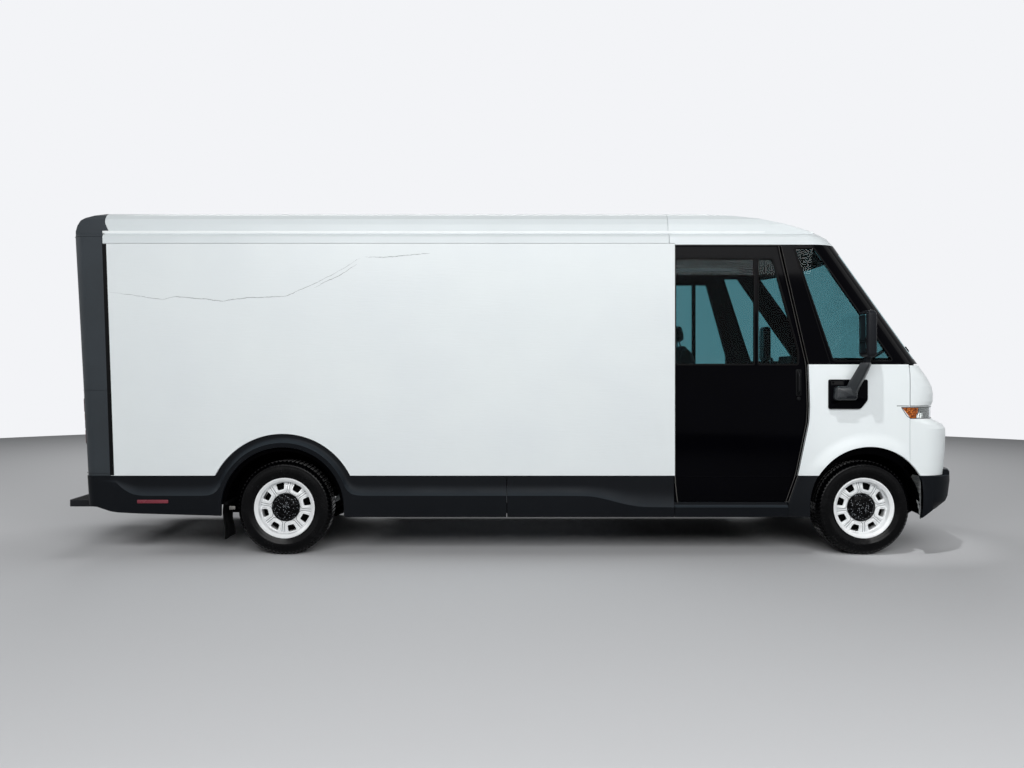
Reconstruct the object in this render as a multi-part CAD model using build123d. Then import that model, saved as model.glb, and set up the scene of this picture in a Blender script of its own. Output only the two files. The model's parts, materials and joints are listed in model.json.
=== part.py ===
from build123d import *

import math
import os

# A walk-in electric cargo van: a white cargo box with a black tail surround, black lower
# cladding, a short cab with sliding pocket doors, and single wheels front and rear.
# Millimetres. +X is forward, +Y is the driver's left, +Z is up. The origin is on the ground,
# below the middle of the whole van.

# ---- driving dimensions -------------------------------------------------------------------
overall_length = 7360.0
wheelbase = 4661.0
front_overhang = 815.0
body_width = 2200.0
tyre_radius = 380.0
tyre_width = 245.0
wheel_inset = 60.0  # from the body side to the tyre's outer face
rim_radius = 243.0

sill_z = 318.0  # lower edge of the cladding
cladding_top_z = 647.0
belt_z = 1538.0  # lower edge of the cab windows
door_head_z = 2488.0
panel_top_z = 2499.0
roof_crown_z = 2790.0
cargo_floor_z = 740.0
cab_floor_z = 600.0
step_z = 432.0
floor_thickness = 40.0

skin = 24.0  # cab shell and outer side panels
glass = 8.0
frame_depth = 16.0
pocket = 62.0  # space behind the skin that takes the sliding door
lining_wall = 14.0
door_wall = 44.0
door_gap = 10.0  # from the skin to the sliding door
door_lap = 22.0  # how far the sliding door reaches behind the opening's edge
seam = 5.0  # gap between neighbouring panels
seat = 0.3  # clearance between fixed pieces that rest on each other
shaft_fit = 0.08

corner_radius = 250.0  # plan curve at the nose's corners
tail_corner_radius = 90.0
tail_lean = 2.0  # degrees by which the tail's joint leans backwards
rear_arch_opening = 490.0
rear_arch_flare = 600.0
front_arch_radius = 472.0
front_housing_radius = 440.0
rear_housing_radius = 462.0
arch_lip = 12.0  # width of the housing's lip seen behind the front arch
housing_wall = 8.0

# ---- places worked out from them ----------------------------------------------------------
front_x = overall_length / 2
rear_x = -overall_length / 2
tail_x = rear_x + 203.0  # the tail's rear face at its top; the step reaches further back
front_axle_x = front_x - front_overhang
rear_axle_x = front_axle_x - wheelbase
half_width = body_width / 2
far_y = half_width + 200.0  # a plane well outside the van
hub_z = tyre_radius
front_arch_x = front_axle_x + 15.0  # the front arch sits a little ahead of the hub and above it
front_arch_z = hub_z + 29.0
tyre_y = half_width - wheel_inset - tyre_width / 2
kingpin_y = tyre_y - 38.0
skin_y = half_width - skin  # inner face of the outer skin
lining_y = skin_y - pocket  # outer face of the inner lining
inside_y = lining_y - lining_wall
door_outer_y = skin_y - door_gap
door_inner_y = door_outer_y - door_wall
opening_rear_x = front_axle_x - 1535.0
bulkhead_x = opening_rear_x - 80.0
bulkhead_wall = 40.0
nose_split_x = front_axle_x + 338.0  # joint between the fender and the nose panels
hood_low_z = 1207.0
hood_top_z = belt_z - 10.0
fascia_top_z = 1200.0
lamp_high_z = 1192.0
lamp_low_z = 1106.0
lamp_rear_x = front_axle_x + 273.0
cab_roof_start_x = front_axle_x - 1577.0
tail_joint_low_x = rear_x + 513.0
slide_travel = 960.0
pocket_end_x = opening_rear_x - slide_travel - 60.0
mirror_low_z = 1590.0
mirror_high_z = 1955.0
screen_y = half_width - 52.0  # where the wrapped windscreen ends
track_mid_y = (door_outer_y + door_inner_y) / 2
track_low_z = door_head_z + door_lap + 6.0
bumper_top_z = 690.0
grille_top_z = 790.0
grille_y = half_width - 320.0
grille_rear_x = front_axle_x + 135.0

rail_y = 400.0
rail_width = 80.0
rail_rear_x = rear_x + 404.0
rail_front_x = front_axle_x + 560.0
rail_high_z = 520.0
rail_top_z = 640.0
rail_low_z = 440.0
rail_low_top_z = 560.0
battery_rear_x = rear_axle_x + 746.0
battery_front_x = front_axle_x - 1935.0
battery_y = half_width - 340.0
battery_low_z = 330.0
outrigger_low_z = 345.0
outrigger_xs = (rear_axle_x + 666.0, front_axle_x - 1695.0, front_axle_x - 695.0)

housing_inner_y = tyre_y - tyre_width / 2 - 50.0
front_housing_inner_y = tyre_y - tyre_width / 2 - 220.0
arm_high = 540.0
arm_low = 220.0
arm_reach = 90.0  # half the length of a suspension arm's root
pin_radius = 14.0
spindle_radius = 34.0
disc_inner_y = tyre_y + 14.0
hub_outer_y = tyre_y + 92.0

# The nose is drawn with the front axle at cab_axle_x, and moved to the axle afterwards.
cab_axle_x = 2865.0
# Nose in side view: height, foremost x at the corner, and how far the middle bows out.
nose_sections = [
    (280.0, cab_axle_x + 690.0, 62.0),
    (650.0, cab_axle_x + 697.0, 62.0),
    (817.0, cab_axle_x + 713.0, 66.0),
    (973.0, cab_axle_x + 718.0, 72.0),
    (1020.0, cab_axle_x + 716.0, 76.0),
    (1055.0, cab_axle_x + 690.0, 80.0),
    (1088.0, cab_axle_x + 620.0, 84.0),
    (1102.0, cab_axle_x + 600.0, 86.0),
    (1198.0, cab_axle_x + 599.0, 88.0),
    (1239.0, cab_axle_x + 615.0, 90.0),
    (1304.0, cab_axle_x + 618.0, 90.0),
    (1361.0, cab_axle_x + 605.0, 92.0),
    (1426.0, cab_axle_x + 572.0, 96.0),
    (1491.0, cab_axle_x + 524.0, 104.0),
    (belt_z, cab_axle_x + 492.0, 110.0),
    (door_head_z, cab_axle_x - 189.0, 120.0),
    (2551.0, cab_axle_x - 248.0, 120.0),
    (2612.0, cab_axle_x - 370.0, 120.0),
    (2667.0, cab_axle_x - 550.0, 110.0),
    (2711.0, cab_axle_x - 770.0, 100.0),
    (2740.0, cab_axle_x - 1030.0, 90.0),
    (2760.0, cab_axle_x - 1290.0, 80.0),
    (2792.0, cab_axle_x - 1640.0, 70.0),
]
bumper_sections = [
    (sill_z - 6.0, cab_axle_x + 530.0, 62.0),
    (372.0, cab_axle_x + 640.0, 62.0),
    (434.0, cab_axle_x + 719.0, 62.0),
    (475.0, cab_axle_x + 737.0, 62.0),
    (598.0, cab_axle_x + front_overhang - 62.0, 62.0),
    (672.0, cab_axle_x + 751.0, 62.0),
    (bumper_top_z, cab_axle_x + 736.0, 62.0),
]
# Tail in side view: height and rearmost x.
tail_sections = [
    (300.0, tail_x + 125.0),
    (663.0, tail_x + 102.0),
    (2543.0, tail_x),
    (2603.0, tail_x + 1.0),
    (2649.0, tail_x + 14.0),
    (2692.0, tail_x + 39.0),
    (2717.0, tail_x + 78.0),
    (2742.0, tail_x + 152.0),
    (2765.0, tail_x + 252.0),
    (2795.0, tail_x + 302.0),
]

# Side view of the cab's openings.
door_opening = [
    (opening_rear_x, door_head_z),
    (front_axle_x - 688.0, door_head_z),
    (front_axle_x - 469.0, belt_z),
    (front_axle_x - 458.0, 1200.0),
    (front_axle_x - 465.0, 1070.0),
    (front_axle_x - 554.0, cladding_top_z),
    (front_axle_x - 632.0, step_z),
    (opening_rear_x, step_z),
]
rear_pane = [
    (opening_rear_x + 10.0, 2382.0),
    (front_axle_x - 889.0, 2382.0),
    (front_axle_x - 889.0, belt_z - 4.0),
    (opening_rear_x + 10.0, belt_z - 4.0),
]
front_pane = [
    (front_axle_x - 865.0, 2382.0),
    (front_axle_x - 746.0, 2382.0),
    (front_axle_x - 540.0, 1640.0),
    (front_axle_x - 540.0, belt_z - 4.0),
    (front_axle_x - 865.0, belt_z - 4.0),
]
quarter_window = [
    (front_axle_x - 575.0, door_head_z - 30.0),
    (front_axle_x - 430.0, door_head_z - 30.0),
    (front_axle_x + 195.0, belt_z + 30.0),
    (front_axle_x - 268.0, belt_z + 30.0),
]

# The doors at the back, as they stand before they lean with the tail.
rear_opening_y = half_width - 250.0
rear_opening_low_z = cargo_floor_z
rear_opening_high_z = 2430.0
rear_door_wall = 45.0
rear_face_low_x = tail_sections[1][1]
rear_face_lean = math.degrees(
    math.atan2(tail_sections[1][1] - tail_sections[2][1], tail_sections[2][0] - tail_sections[1][0])
)
rear_hinge_y = rear_opening_y + 6.0
rear_hinge_x = rear_face_low_x - 8.0
hinge_heights = (900.0, 1560.0, 2260.0)
rear_frame_x = rear_x + 680.0  # how far forward the frame round the rear doors reaches

steering_centre = (front_axle_x - 385.0, 470.0, 1440.0)
column_angle = 35.0  # steering column above the horizontal
hood_axis_x = front_x - 120.0
hood_axis_z = 1203.5


# ---- small helpers ------------------------------------------------------------------------
def block(x0, x1, y0, y1, z0, z1):
    centre = Pos((x0 + x1) / 2, (y0 + y1) / 2, (z0 + z1) / 2)
    return centre * Box(abs(x1 - x0), abs(y1 - y0), abs(z1 - z0))


def side_prism(outline, y0, y1):
    """An outline of (x, z) points, carried across the van from y0 to y1."""
    face = make_face(Polyline(*[(x, y0, z) for x, z in outline], close=True))
    return extrude(face, amount=y1 - y0, dir=(0, 1, 0))


def length_prism(outline, x0, x1):
    """An outline of (y, z) points, carried along the van from x0 to x1."""
    face = make_face(Polyline(*[(x0, y, z) for y, z in outline], close=True))
    return extrude(face, amount=x1 - x0, dir=(1, 0, 0))


def cross_rod(x, z, y0, y1, radius):
    return Pos(x, (y0 + y1) / 2, z) * Rot(90, 0, 0) * Cylinder(radius, abs(y1 - y0))


def upright_rod(x, y, z0, z1, radius):
    return Pos(x, y, (z0 + z1) / 2) * Cylinder(radius, abs(z1 - z0))


def turned(profile, x, z):
    """A profile of (radius, y) points turned about a cross axis at x, z."""
    face = make_face(Polyline(*[(r, y, 0) for r, y in profile], close=True))
    return Pos(x, 0, z) * revolve(face, axis=Axis.Y)


def mirrored(shape):
    return mirror(shape, about=Plane.XZ)


def both(shape):
    """The piece and its mirror image on the other side of the van."""
    return shape.solids() + mirrored(shape).solids()


def tail_joint_x(z):
    return tail_joint_low_x - (z - cladding_top_z) * math.tan(math.radians(tail_lean))


def behind_tail_joint(gap):
    """Everything behind the tail's leaning joint, kept gap away from it."""
    return side_prism(
        [(tail_joint_x(200.0) - gap, 200.0), (tail_joint_x(2900.0) - gap, 2900.0),
         (rear_x - 100.0, 2900.0), (rear_x - 100.0, 200.0)],
        -far_y, far_y,
    )


def leaned(shape):
    """Leans a piece back about the foot of the tail's rear face."""
    foot = Pos(rear_face_low_x, 0, tail_sections[1][0])
    return foot * Rot(0, -rear_face_lean, 0) * foot.inverse() * shape


def grown(outline, amount):
    """An outline moved outwards by amount; a negative amount moves it inwards."""
    area = sum(a[0] * b[1] - b[0] * a[1] for a, b in zip(outline, outline[1:] + outline[:1]))
    turn = 1.0 if area > 0 else -1.0
    moved = []
    for i, here in enumerate(outline):
        after = outline[(i + 1) % len(outline)]
        normals = []
        for a, b in ((outline[i - 1], here), (here, after)):
            length = math.hypot(b[0] - a[0], b[1] - a[1])
            normals.append((turn * (b[1] - a[1]) / length, -turn * (b[0] - a[0]) / length))
        (ax, az), (bx, bz) = normals
        scale = amount / (1 + ax * bx + az * bz)
        moved.append((here[0] + (ax + bx) * scale, here[1] + (az + bz) * scale))
    return moved


# ---- the outer forms, each at a chosen inset ----------------------------------------------
def nose_section(z, corner_x, bow, inset):
    """Horizontal section of the nose: straight sides, round corners and a bowed front."""
    wide = half_width - inset
    corner = corner_radius - inset
    reach = half_width - corner_radius
    spread = (bow ** 2 + reach ** 2) / (2 * bow)
    bow_radius = spread + corner
    centre_x = corner_x - corner_radius
    bow_x = centre_x - (spread - bow)
    heading = math.atan2(reach, spread - bow)
    join = (bow_x + bow_radius * math.cos(heading), bow_radius * math.sin(heading))
    half = (heading + math.pi / 2) / 2
    bend = (centre_x + corner * math.cos(half), reach + corner * math.sin(half))
    tip_x = bow_x + bow_radius
    edges = [
        Line((0, -wide, z), (centre_x, -wide, z)),
        ThreePointArc((centre_x, -wide, z), (bend[0], -bend[1], z), (join[0], -join[1], z)),
        ThreePointArc((join[0], -join[1], z), (tip_x, 0, z), (join[0], join[1], z)),
        ThreePointArc((join[0], join[1], z), (bend[0], bend[1], z), (centre_x, wide, z)),
        Line((centre_x, wide, z), (0, wide, z)),
        Line((0, wide, z), (0, -wide, z)),
    ]
    return make_face(edges)


def tail_section(z, back_x, inset):
    wide = half_width - inset
    radius = tail_corner_radius - inset
    x = back_x + inset
    mid = radius * (1 - math.sqrt(0.5))
    front = rear_axle_x - 900.0
    edges = [
        Line((front, wide, z), (x + radius, wide, z)),
        ThreePointArc((x + radius, wide, z), (x + mid, wide - mid, z), (x, wide - radius, z)),
        Line((x, wide - radius, z), (x, radius - wide, z)),
        ThreePointArc((x, radius - wide, z), (x + mid, mid - wide, z), (x + radius, -wide, z)),
        Line((x + radius, -wide, z), (front, -wide, z)),
        Line((front, -wide, z), (front, wide, z)),
    ]
    return make_face(edges)


def roof_outline(inset):
    """Half section of the box: side, drip rail, raised shoulder and crown."""
    return [
        (half_width - inset, 250.0),
        (half_width - inset, 2554.0),
        (half_width - 12.0 - inset, 2572.0),
        (half_width - 44.0 - inset, 2582.0),
        (half_width - 54.0 - inset, 2660.0 - inset * 0.3),
        (half_width - 66.0 - inset, 2704.0 - inset * 0.6),
        (half_width - 96.0 - inset, 2738.0 - inset * 0.9),
        (half_width - 140.0 - inset, 2758.0 - inset),
        (half_width - 400.0, roof_crown_z - 8.0 - inset),
        (0.0, roof_crown_z - inset),
    ]


def box_form(x0, x1, inset):
    half = roof_outline(inset)
    return length_prism(half + [(-y, z) for y, z in reversed(half[:-1])], x0, x1)


def drawn_nose(inset, sections=nose_sections):
    return loft([nose_section(z, x, bow, inset) for z, x, bow in sections], ruled=True)


def at_axle(shape):
    """Moves a form of the nose from where it is drawn to the front axle."""
    return Pos(front_axle_x - cab_axle_x, 0, 0) * shape


def nose_form(inset, sections=nose_sections):
    return at_axle(drawn_nose(inset, sections))


def cab_form(inset):
    cab = box_form(1.0, cab_axle_x + front_overhang + 60.0, inset)
    return at_axle(drawn_nose(inset) & cab)


def tail_form(inset):
    body = loft([tail_section(z, x, inset) for z, x in tail_sections], ruled=True)
    return body & box_form(rear_x - 60.0, 0.0, inset)


def front_arch(y0, y1):
    """The front wheel opening: a round hole with straight sides down to the ground."""
    hole = cross_rod(front_arch_x, front_arch_z, y0, y1, front_arch_radius)
    return hole + block(front_arch_x - front_arch_radius, front_arch_x + front_arch_radius, y0, y1,
                        0.0, front_arch_z)


# ---- cab ----------------------------------------------------------------------------------
def make_cab():
    outer = cab_form(0.0)
    inner = cab_form(skin)
    shell = outer - inner
    far = front_x + 100.0
    wide = half_width + 100.0
    half_seam = seam / 2
    parts = {}

    roof_zone = block(cab_roof_start_x, far, -wide, wide, panel_top_z + 3.0, 3000.0)
    roof_zone += block(opening_rear_x + 2.0, far, -wide, wide, door_head_z + half_seam, 2600.0)
    parts["cab_roof"] = shell & roof_zone
    screen_zone = block(
        front_axle_x - 420.0, far, -screen_y, screen_y, belt_z + half_seam, door_head_z - half_seam
    )
    screen_zone -= side_prism(
        [(front_axle_x - 430.0, 2600.0), (front_axle_x - 430.0, 1400.0),
         (front_axle_x + 340.0, 1400.0), (front_axle_x - 420.0, 2500.0)],
        -wide, wide,
    )
    parts["windscreen"] = (outer & screen_zone) - cab_form(glass)

    hood_zone = block(nose_split_x + seam, far, -wide, wide, hood_low_z, hood_top_z)
    hood = shell & hood_zone
    # The rear edge thins to a lip, so it swings forward clear of the panels above.
    for depth, drop in ((3.0, 12.0), (8.0, 22.0), (14.0, 32.0), (19.0, 42.0)):
        hood -= nose_form(depth) & block(nose_split_x, far, -wide, wide, hood_top_z - drop, belt_z)
    brackets = []
    for y in (-300.0, 300.0):
        lug = cross_rod(hood_axis_x, hood_axis_z, y - 10.0, y + 10.0, 9.0)
        lug += block(hood_axis_x - 24.0, hood_axis_x + 2.0, y - 10.0, y + 10.0,
                     hood_low_z - 1.0, hood_low_z + 24.0)
        hood += lug
        hood -= cross_rod(hood_axis_x, hood_axis_z, y - 20.0, y + 20.0, 5.0 + shaft_fit)
        ears = cross_rod(hood_axis_x, hood_axis_z, y - 26.0, y + 26.0, 5.0)
        for ear_y in (y - 26.0, y + 17.0):
            ears += block(hood_axis_x - 34.0, hood_axis_x + 6.0, ear_y, ear_y + 9.0, 1180.0, fascia_top_z)
            ears += cross_rod(hood_axis_x, hood_axis_z, ear_y, ear_y + 9.0, 8.0)
        brackets.append(ears)
    parts["hood"] = hood

    lamp_side = [
        (lamp_rear_x, lamp_high_z), (far, lamp_high_z), (far, lamp_low_z),
        (lamp_rear_x + 70.0, lamp_low_z),
    ]
    lamp_zone = side_prism(lamp_side, half_width - 560.0, wide)
    lamp_zone += mirrored(lamp_zone)
    small_lamp = side_prism(grown(lamp_side, -seat), half_width - 560.0 + seat, wide)
    lamps = (shell & small_lamp).solids()
    parts["headlights"] = lamps + [mirrored(s) for s in lamps]

    grille_zone = block(grille_rear_x, far, -grille_y, grille_y, 600.0, grille_top_z)
    front_zone = block(nose_split_x + half_seam, far, -wide, wide, cladding_top_z + half_seam,
                       fascia_top_z)
    fascia = (shell & front_zone) - lamp_zone - grille_zone
    fascia -= front_arch(-wide, wide)
    for bracket in brackets:
        fascia += bracket
    parts["front_fascia"] = fascia

    bumper_outer = nose_form(0.0, bumper_sections)
    bumper_inner = nose_form(skin, bumper_sections)
    low = block(front_axle_x + 100.0, far, -wide, wide, 300.0, cladding_top_z - half_seam)
    bumper = (bumper_outer - bumper_inner) & low
    shelf = block(front_axle_x + 500.0, far, 100.0 - half_width, half_width - 100.0,
                  cladding_top_z - 20.0, bumper_top_z)
    bumper += (bumper_outer & shelf) - nose_form(-seat)
    grille = (nose_form(0.0) & block(front_axle_x + 435.0, far, -grille_y + seam, grille_y - seam,
              cladding_top_z - 20.0, grille_top_z - seam))
    grille = grille - nose_form(skin + 26.0)
    bridge = block(front_axle_x + 435.0, far, -grille_y + seam, grille_y - seam, cladding_top_z - 20.0,
                   bumper_top_z - 4.0)
    bumper += grille + ((bumper_outer & bridge) - nose_form(skin + 20.0))
    bumper -= front_arch(-wide, wide)
    plate_x = front_x - 14.0
    pad = block(front_x - 60.0, plate_x, -190.0, 190.0, 440.0, 612.0)
    bumper -= block(plate_x, far, -190.0, 190.0, 440.0, 612.0)
    bumper += pad
    for y in (-88.9, 88.9):
        for z in (465.675, 586.325):
            bumper -= Pos(front_x - 40.0, y, z) * Rot(0, 90, 0) * Cylinder(3.5, 80.0)
    bumper -= Pos(front_x - 60.0, 250.0, 500.0) * Rot(0, 90, 0) * Cylinder(26.0, 200.0)
    for y in (-400.0, 400.0):
        bumper += block(front_axle_x + 640.0, front_axle_x + 770.0, y - 45.0, y + 45.0, 470.0, 530.0)
    parts["front_bumper"] = bumper

    side_zone = block(opening_rear_x, nose_split_x - half_seam, 0.0, wide,
                      cladding_top_z + half_seam, belt_z - half_seam)
    side = shell & side_zone
    side -= side_prism(door_opening, 0.0, wide)
    side -= lamp_zone
    side -= front_arch(0.0, wide)
    parts["fenders"] = both(side)

    upper_zone = block(opening_rear_x, far, screen_y + half_seam, wide, belt_z + half_seam,
                       door_head_z - half_seam)
    upper = shell & upper_zone
    upper -= side_prism(door_opening, 0.0, wide)
    upper -= side_prism(quarter_window, 0.0, wide)
    parts["quarter_frames"] = both(upper)
    pane = side_prism(grown(quarter_window, -seat), half_width - 14.0, half_width - 6.0)
    parts["quarter_windows"] = both(pane)

    # Frame behind the panels: belt, header, corner pillars, hinge pillars and nose ring.
    frame_out = cab_form(skin + seat)
    frame_in = cab_form(skin + frame_depth)
    ring = frame_out - frame_in
    start = front_axle_x - 425.0
    belt = block(start + 90.0, far, -wide, wide, belt_z - 60.0, belt_z + 50.0)
    header = block(start - 300.0, far, -wide, wide, door_head_z - 50.0, door_head_z + 60.0)
    header -= block(0.0, front_axle_x - 640.0, -wide, wide, 2000.0, 3000.0)
    nose_ring = block(lamp_rear_x - 60.0, far, -wide, wide, lamp_low_z - 70.0, fascia_top_z - 4.0)
    low_ring = block(nose_split_x + 60.0, far, -wide, wide, cladding_top_z + 30.0,
                     cladding_top_z + 130.0)
    low_ring -= block(grille_rear_x, far, -grille_y - 60.0, grille_y + 60.0, 500.0, 1000.0)
    zones = belt + header + nose_ring + low_ring
    front_pillar = side_prism(
        [(front_axle_x - 424.0, door_head_z + 20.0), (front_axle_x + 202.0, belt_z + 20.0),
         (front_axle_x + 700.0, belt_z + 20.0), (front_axle_x + 100.0, door_head_z + 20.0)],
        screen_y - 70.0, wide,
    )
    rear_pillar = side_prism(
        [(front_axle_x - 650.0, door_head_z + 20.0), (front_axle_x - 581.0, door_head_z + 20.0),
         (front_axle_x - 274.0, belt_z + 20.0), (front_axle_x - 280.0, 850.0),
         (front_axle_x - 400.0, 850.0), (front_axle_x - 418.0, 1100.0),
         (front_axle_x - 418.0, belt_z)],
        0.0, wide,
    )
    post = block(nose_split_x - 40.0, nose_split_x + 40.0, half_width - 200.0, wide, 880.0, belt_z)
    side_zones = front_pillar + rear_pillar + post
    frame = ring & (zones + side_zones + mirrored(side_zones))
    seal = cab_form(glass + seat) - cab_form(skin + seat + 1.0)
    seal_zone = screen_zone & (
        block(0.0, far, -wide, wide, belt_z + seam, belt_z + 50.0)
        + block(0.0, far, -wide, wide, door_head_z - 50.0, door_head_z - seam)
    )
    frame += seal & seal_zone
    hood_room = outer - cab_form(skin + 6.5)
    frame -= hood_room & block(nose_split_x + seam - 6.0, far, -wide, wide, fascia_top_z + 1.0,
                               belt_z + seam - 4.0)
    track_room = block(0.0, front_axle_x - 425.0 + seat, inside_y - seat, wide, track_low_z - seat,
                       track_low_z + 34.0 + seat)
    frame -= track_room + mirrored(track_room)
    frame -= side_prism(grown(door_opening, door_lap + 6.0), door_inner_y - 6.0, wide)
    frame -= side_prism(grown(door_opening, door_lap + 6.0), -wide, -door_inner_y + 6.0)
    parts["cab_frame"] = frame
    return parts


# ---- sliding doors ------------------------------------------------------------------------
def make_cab_door():
    outline = grown(door_opening, door_lap)
    leaf = side_prism(outline, door_inner_y, door_outer_y)
    leaf -= block(0.0, front_x, 0.0, half_width, 0.0, step_z + 6.0)
    for pane in (rear_pane, front_pane):
        leaf -= side_prism(pane, 0.0, half_width)
    door_top = door_head_z + door_lap
    for x in (opening_rear_x + 120.0, front_axle_x - 760.0):
        leaf += block(x - 40.0, x + 40.0, track_mid_y - 7.0 + shaft_fit, track_mid_y + 7.0 - shaft_fit,
                      door_top - 5.0, track_low_z + 22.0)
    return leaf


def make_door_glass():
    panes = []
    for pane in (rear_pane, front_pane):
        panes += side_prism(grown(pane, -seat), door_outer_y - 12.0, door_outer_y - 4.0).solids()
    return panes


def make_track():
    top = side_prism(
        [(pocket_end_x, track_low_z), (front_axle_x - 425.0, track_low_z),
         (front_axle_x - 425.0, track_low_z + 22.0), (front_axle_x - 470.0, track_low_z + 34.0),
         (pocket_end_x, track_low_z + 34.0)],
        inside_y, skin_y - seat,
    )
    top &= cab_form(skin + seat) + block(-500.0, cab_roof_start_x + 20.0, 0.0, half_width, 2000.0,
                                         2700.0)
    top -= block(pocket_end_x + 20.0, front_axle_x - 440.0, track_mid_y - 7.0, track_mid_y + 7.0,
                 track_low_z - 1.0, track_low_z + 25.0)
    return top


# ---- cargo box ----------------------------------------------------------------------------
def make_cargo_box():
    parts = {}
    far = half_width + 50.0
    gap = seam / 2
    rear_hole = cross_rod(rear_axle_x, hub_z, 0.0, far, rear_arch_flare + gap)
    panel = side_prism(
        [(tail_joint_x(cladding_top_z) + gap, cladding_top_z + gap),
         (opening_rear_x, cladding_top_z + gap), (opening_rear_x, panel_top_z),
         (tail_joint_x(panel_top_z) + gap, panel_top_z)],
        skin_y, half_width,
    )
    parts["side_panels"] = both(panel - rear_hole)

    lining = side_prism(
        [(tail_joint_x(cargo_floor_z) + 30.0, cargo_floor_z), (opening_rear_x - 6.0, cargo_floor_z),
         (opening_rear_x - 6.0, track_low_z), (tail_joint_x(track_low_z) + 30.0, track_low_z)],
        inside_y, lining_y,
    )
    lining -= cross_rod(rear_axle_x, hub_z, 0.0, far, rear_housing_radius + housing_wall + seat)
    lining -= block(rear_axle_x - rear_housing_radius - 8.0, rear_axle_x + rear_housing_radius + 8.0,
                    0.0, far, 0.0, hub_z)
    parts["side_linings"] = both(lining)

    # Posts between the lining and the outer panel, and the rail along the top of the lining.
    posts = []
    post_low_z = cargo_floor_z - floor_thickness + seat
    post_high_z = panel_top_z - 10.0
    for x, lean in ((tail_joint_low_x + 60.0, 64.0), (rear_axle_x - 724.0, 0.0), (rear_axle_x + 696.0, 0.0),
                    (rear_axle_x + 1236.0, 0.0), (pocket_end_x - 80.0, 0.0)):
        posts += both(side_prism(
            [(x, post_low_z), (x + 60.0, post_low_z), (x + 60.0 - lean, post_high_z), (x - lean, post_high_z)],
            lining_y + seat, skin_y - seat,
        ))
    posts += both(side_prism(
        [(tail_joint_x(2500.0) + 30.0, track_low_z + seat), (pocket_end_x - seat, track_low_z + seat),
         (pocket_end_x - seat, track_low_z + 34.0), (tail_joint_x(2530.0) + 30.0, track_low_z + 34.0)],
        inside_y, skin_y - seat,
    ))
    parts["lining_posts"] = posts

    roof = box_form(rear_x, cab_roof_start_x - seam, 0.0) - box_form(rear_x - 10.0, front_x, skin)
    roof &= block(rear_x, front_x, -far, far, panel_top_z + 3.0, 3000.0)
    roof -= behind_tail_joint(-gap)
    first_bow_x = tail_joint_low_x + 267.0
    bow_step = (cab_roof_start_x - 688.0 - first_bow_x) / 5
    for i in range(6):
        x = first_bow_x + bow_step * i
        bow = length_prism(
            [(-inside_y, track_low_z + 36.0), (inside_y, track_low_z + 36.0), (inside_y + 60.0, 2570.0),
             (inside_y - 20.0, 2720.0), (half_width - 540.0, 2790.0), (540.0 - half_width, 2790.0),
             (20.0 - inside_y, 2720.0), (-inside_y - 60.0, 2570.0)],
            x, x + 50.0,
        )
        bow -= length_prism(
            [(-inside_y + 30.0, 2400.0), (inside_y - 30.0, 2400.0), (inside_y - 30.0, 2560.0),
             (inside_y - 84.0, 2672.0), (half_width - 540.0, 2726.0), (540.0 - half_width, 2726.0),
             (84.0 - inside_y, 2672.0),
             (30.0 - inside_y, 2560.0)],
            x - 1.0, x + 51.0,
        )
        roof += bow & box_form(rear_x, front_x, skin - 1.0)
    parts["cargo_roof"] = roof

    bulkhead = box_form(bulkhead_x, bulkhead_x + bulkhead_wall, skin + seat)
    bulkhead &= block(0.0, front_x, -inside_y + seat, inside_y - seat, cargo_floor_z, 3000.0)
    bulkhead -= block(0.0, front_x, -330.0, 330.0, cargo_floor_z - 1.0, 2420.0)
    rail = block(bulkhead_x - 40.0, bulkhead_x + 1.0, -370.0, inside_y - 10.0, 2470.0, 2510.0)
    rail -= block(bulkhead_x - 27.0, bulkhead_x - 13.0, -360.0, inside_y - 20.0, 2469.0, 2495.0)
    parts["bulkhead"] = bulkhead + rail
    leaf = block(bulkhead_x - 35.0, bulkhead_x - 5.0, -345.0, 345.0, cargo_floor_z + 8.0, 2462.0)
    leaf -= block(0.0, front_x, -120.0, 120.0, 1700.0, 2200.0)
    for y in (-240.0, 240.0):
        leaf += block(bulkhead_x - 27.0 + shaft_fit, bulkhead_x - 13.0 - shaft_fit, y - 40.0, y + 40.0,
                      2460.0, 2489.0)
    parts["bulkhead_door"] = leaf
    return parts


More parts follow.
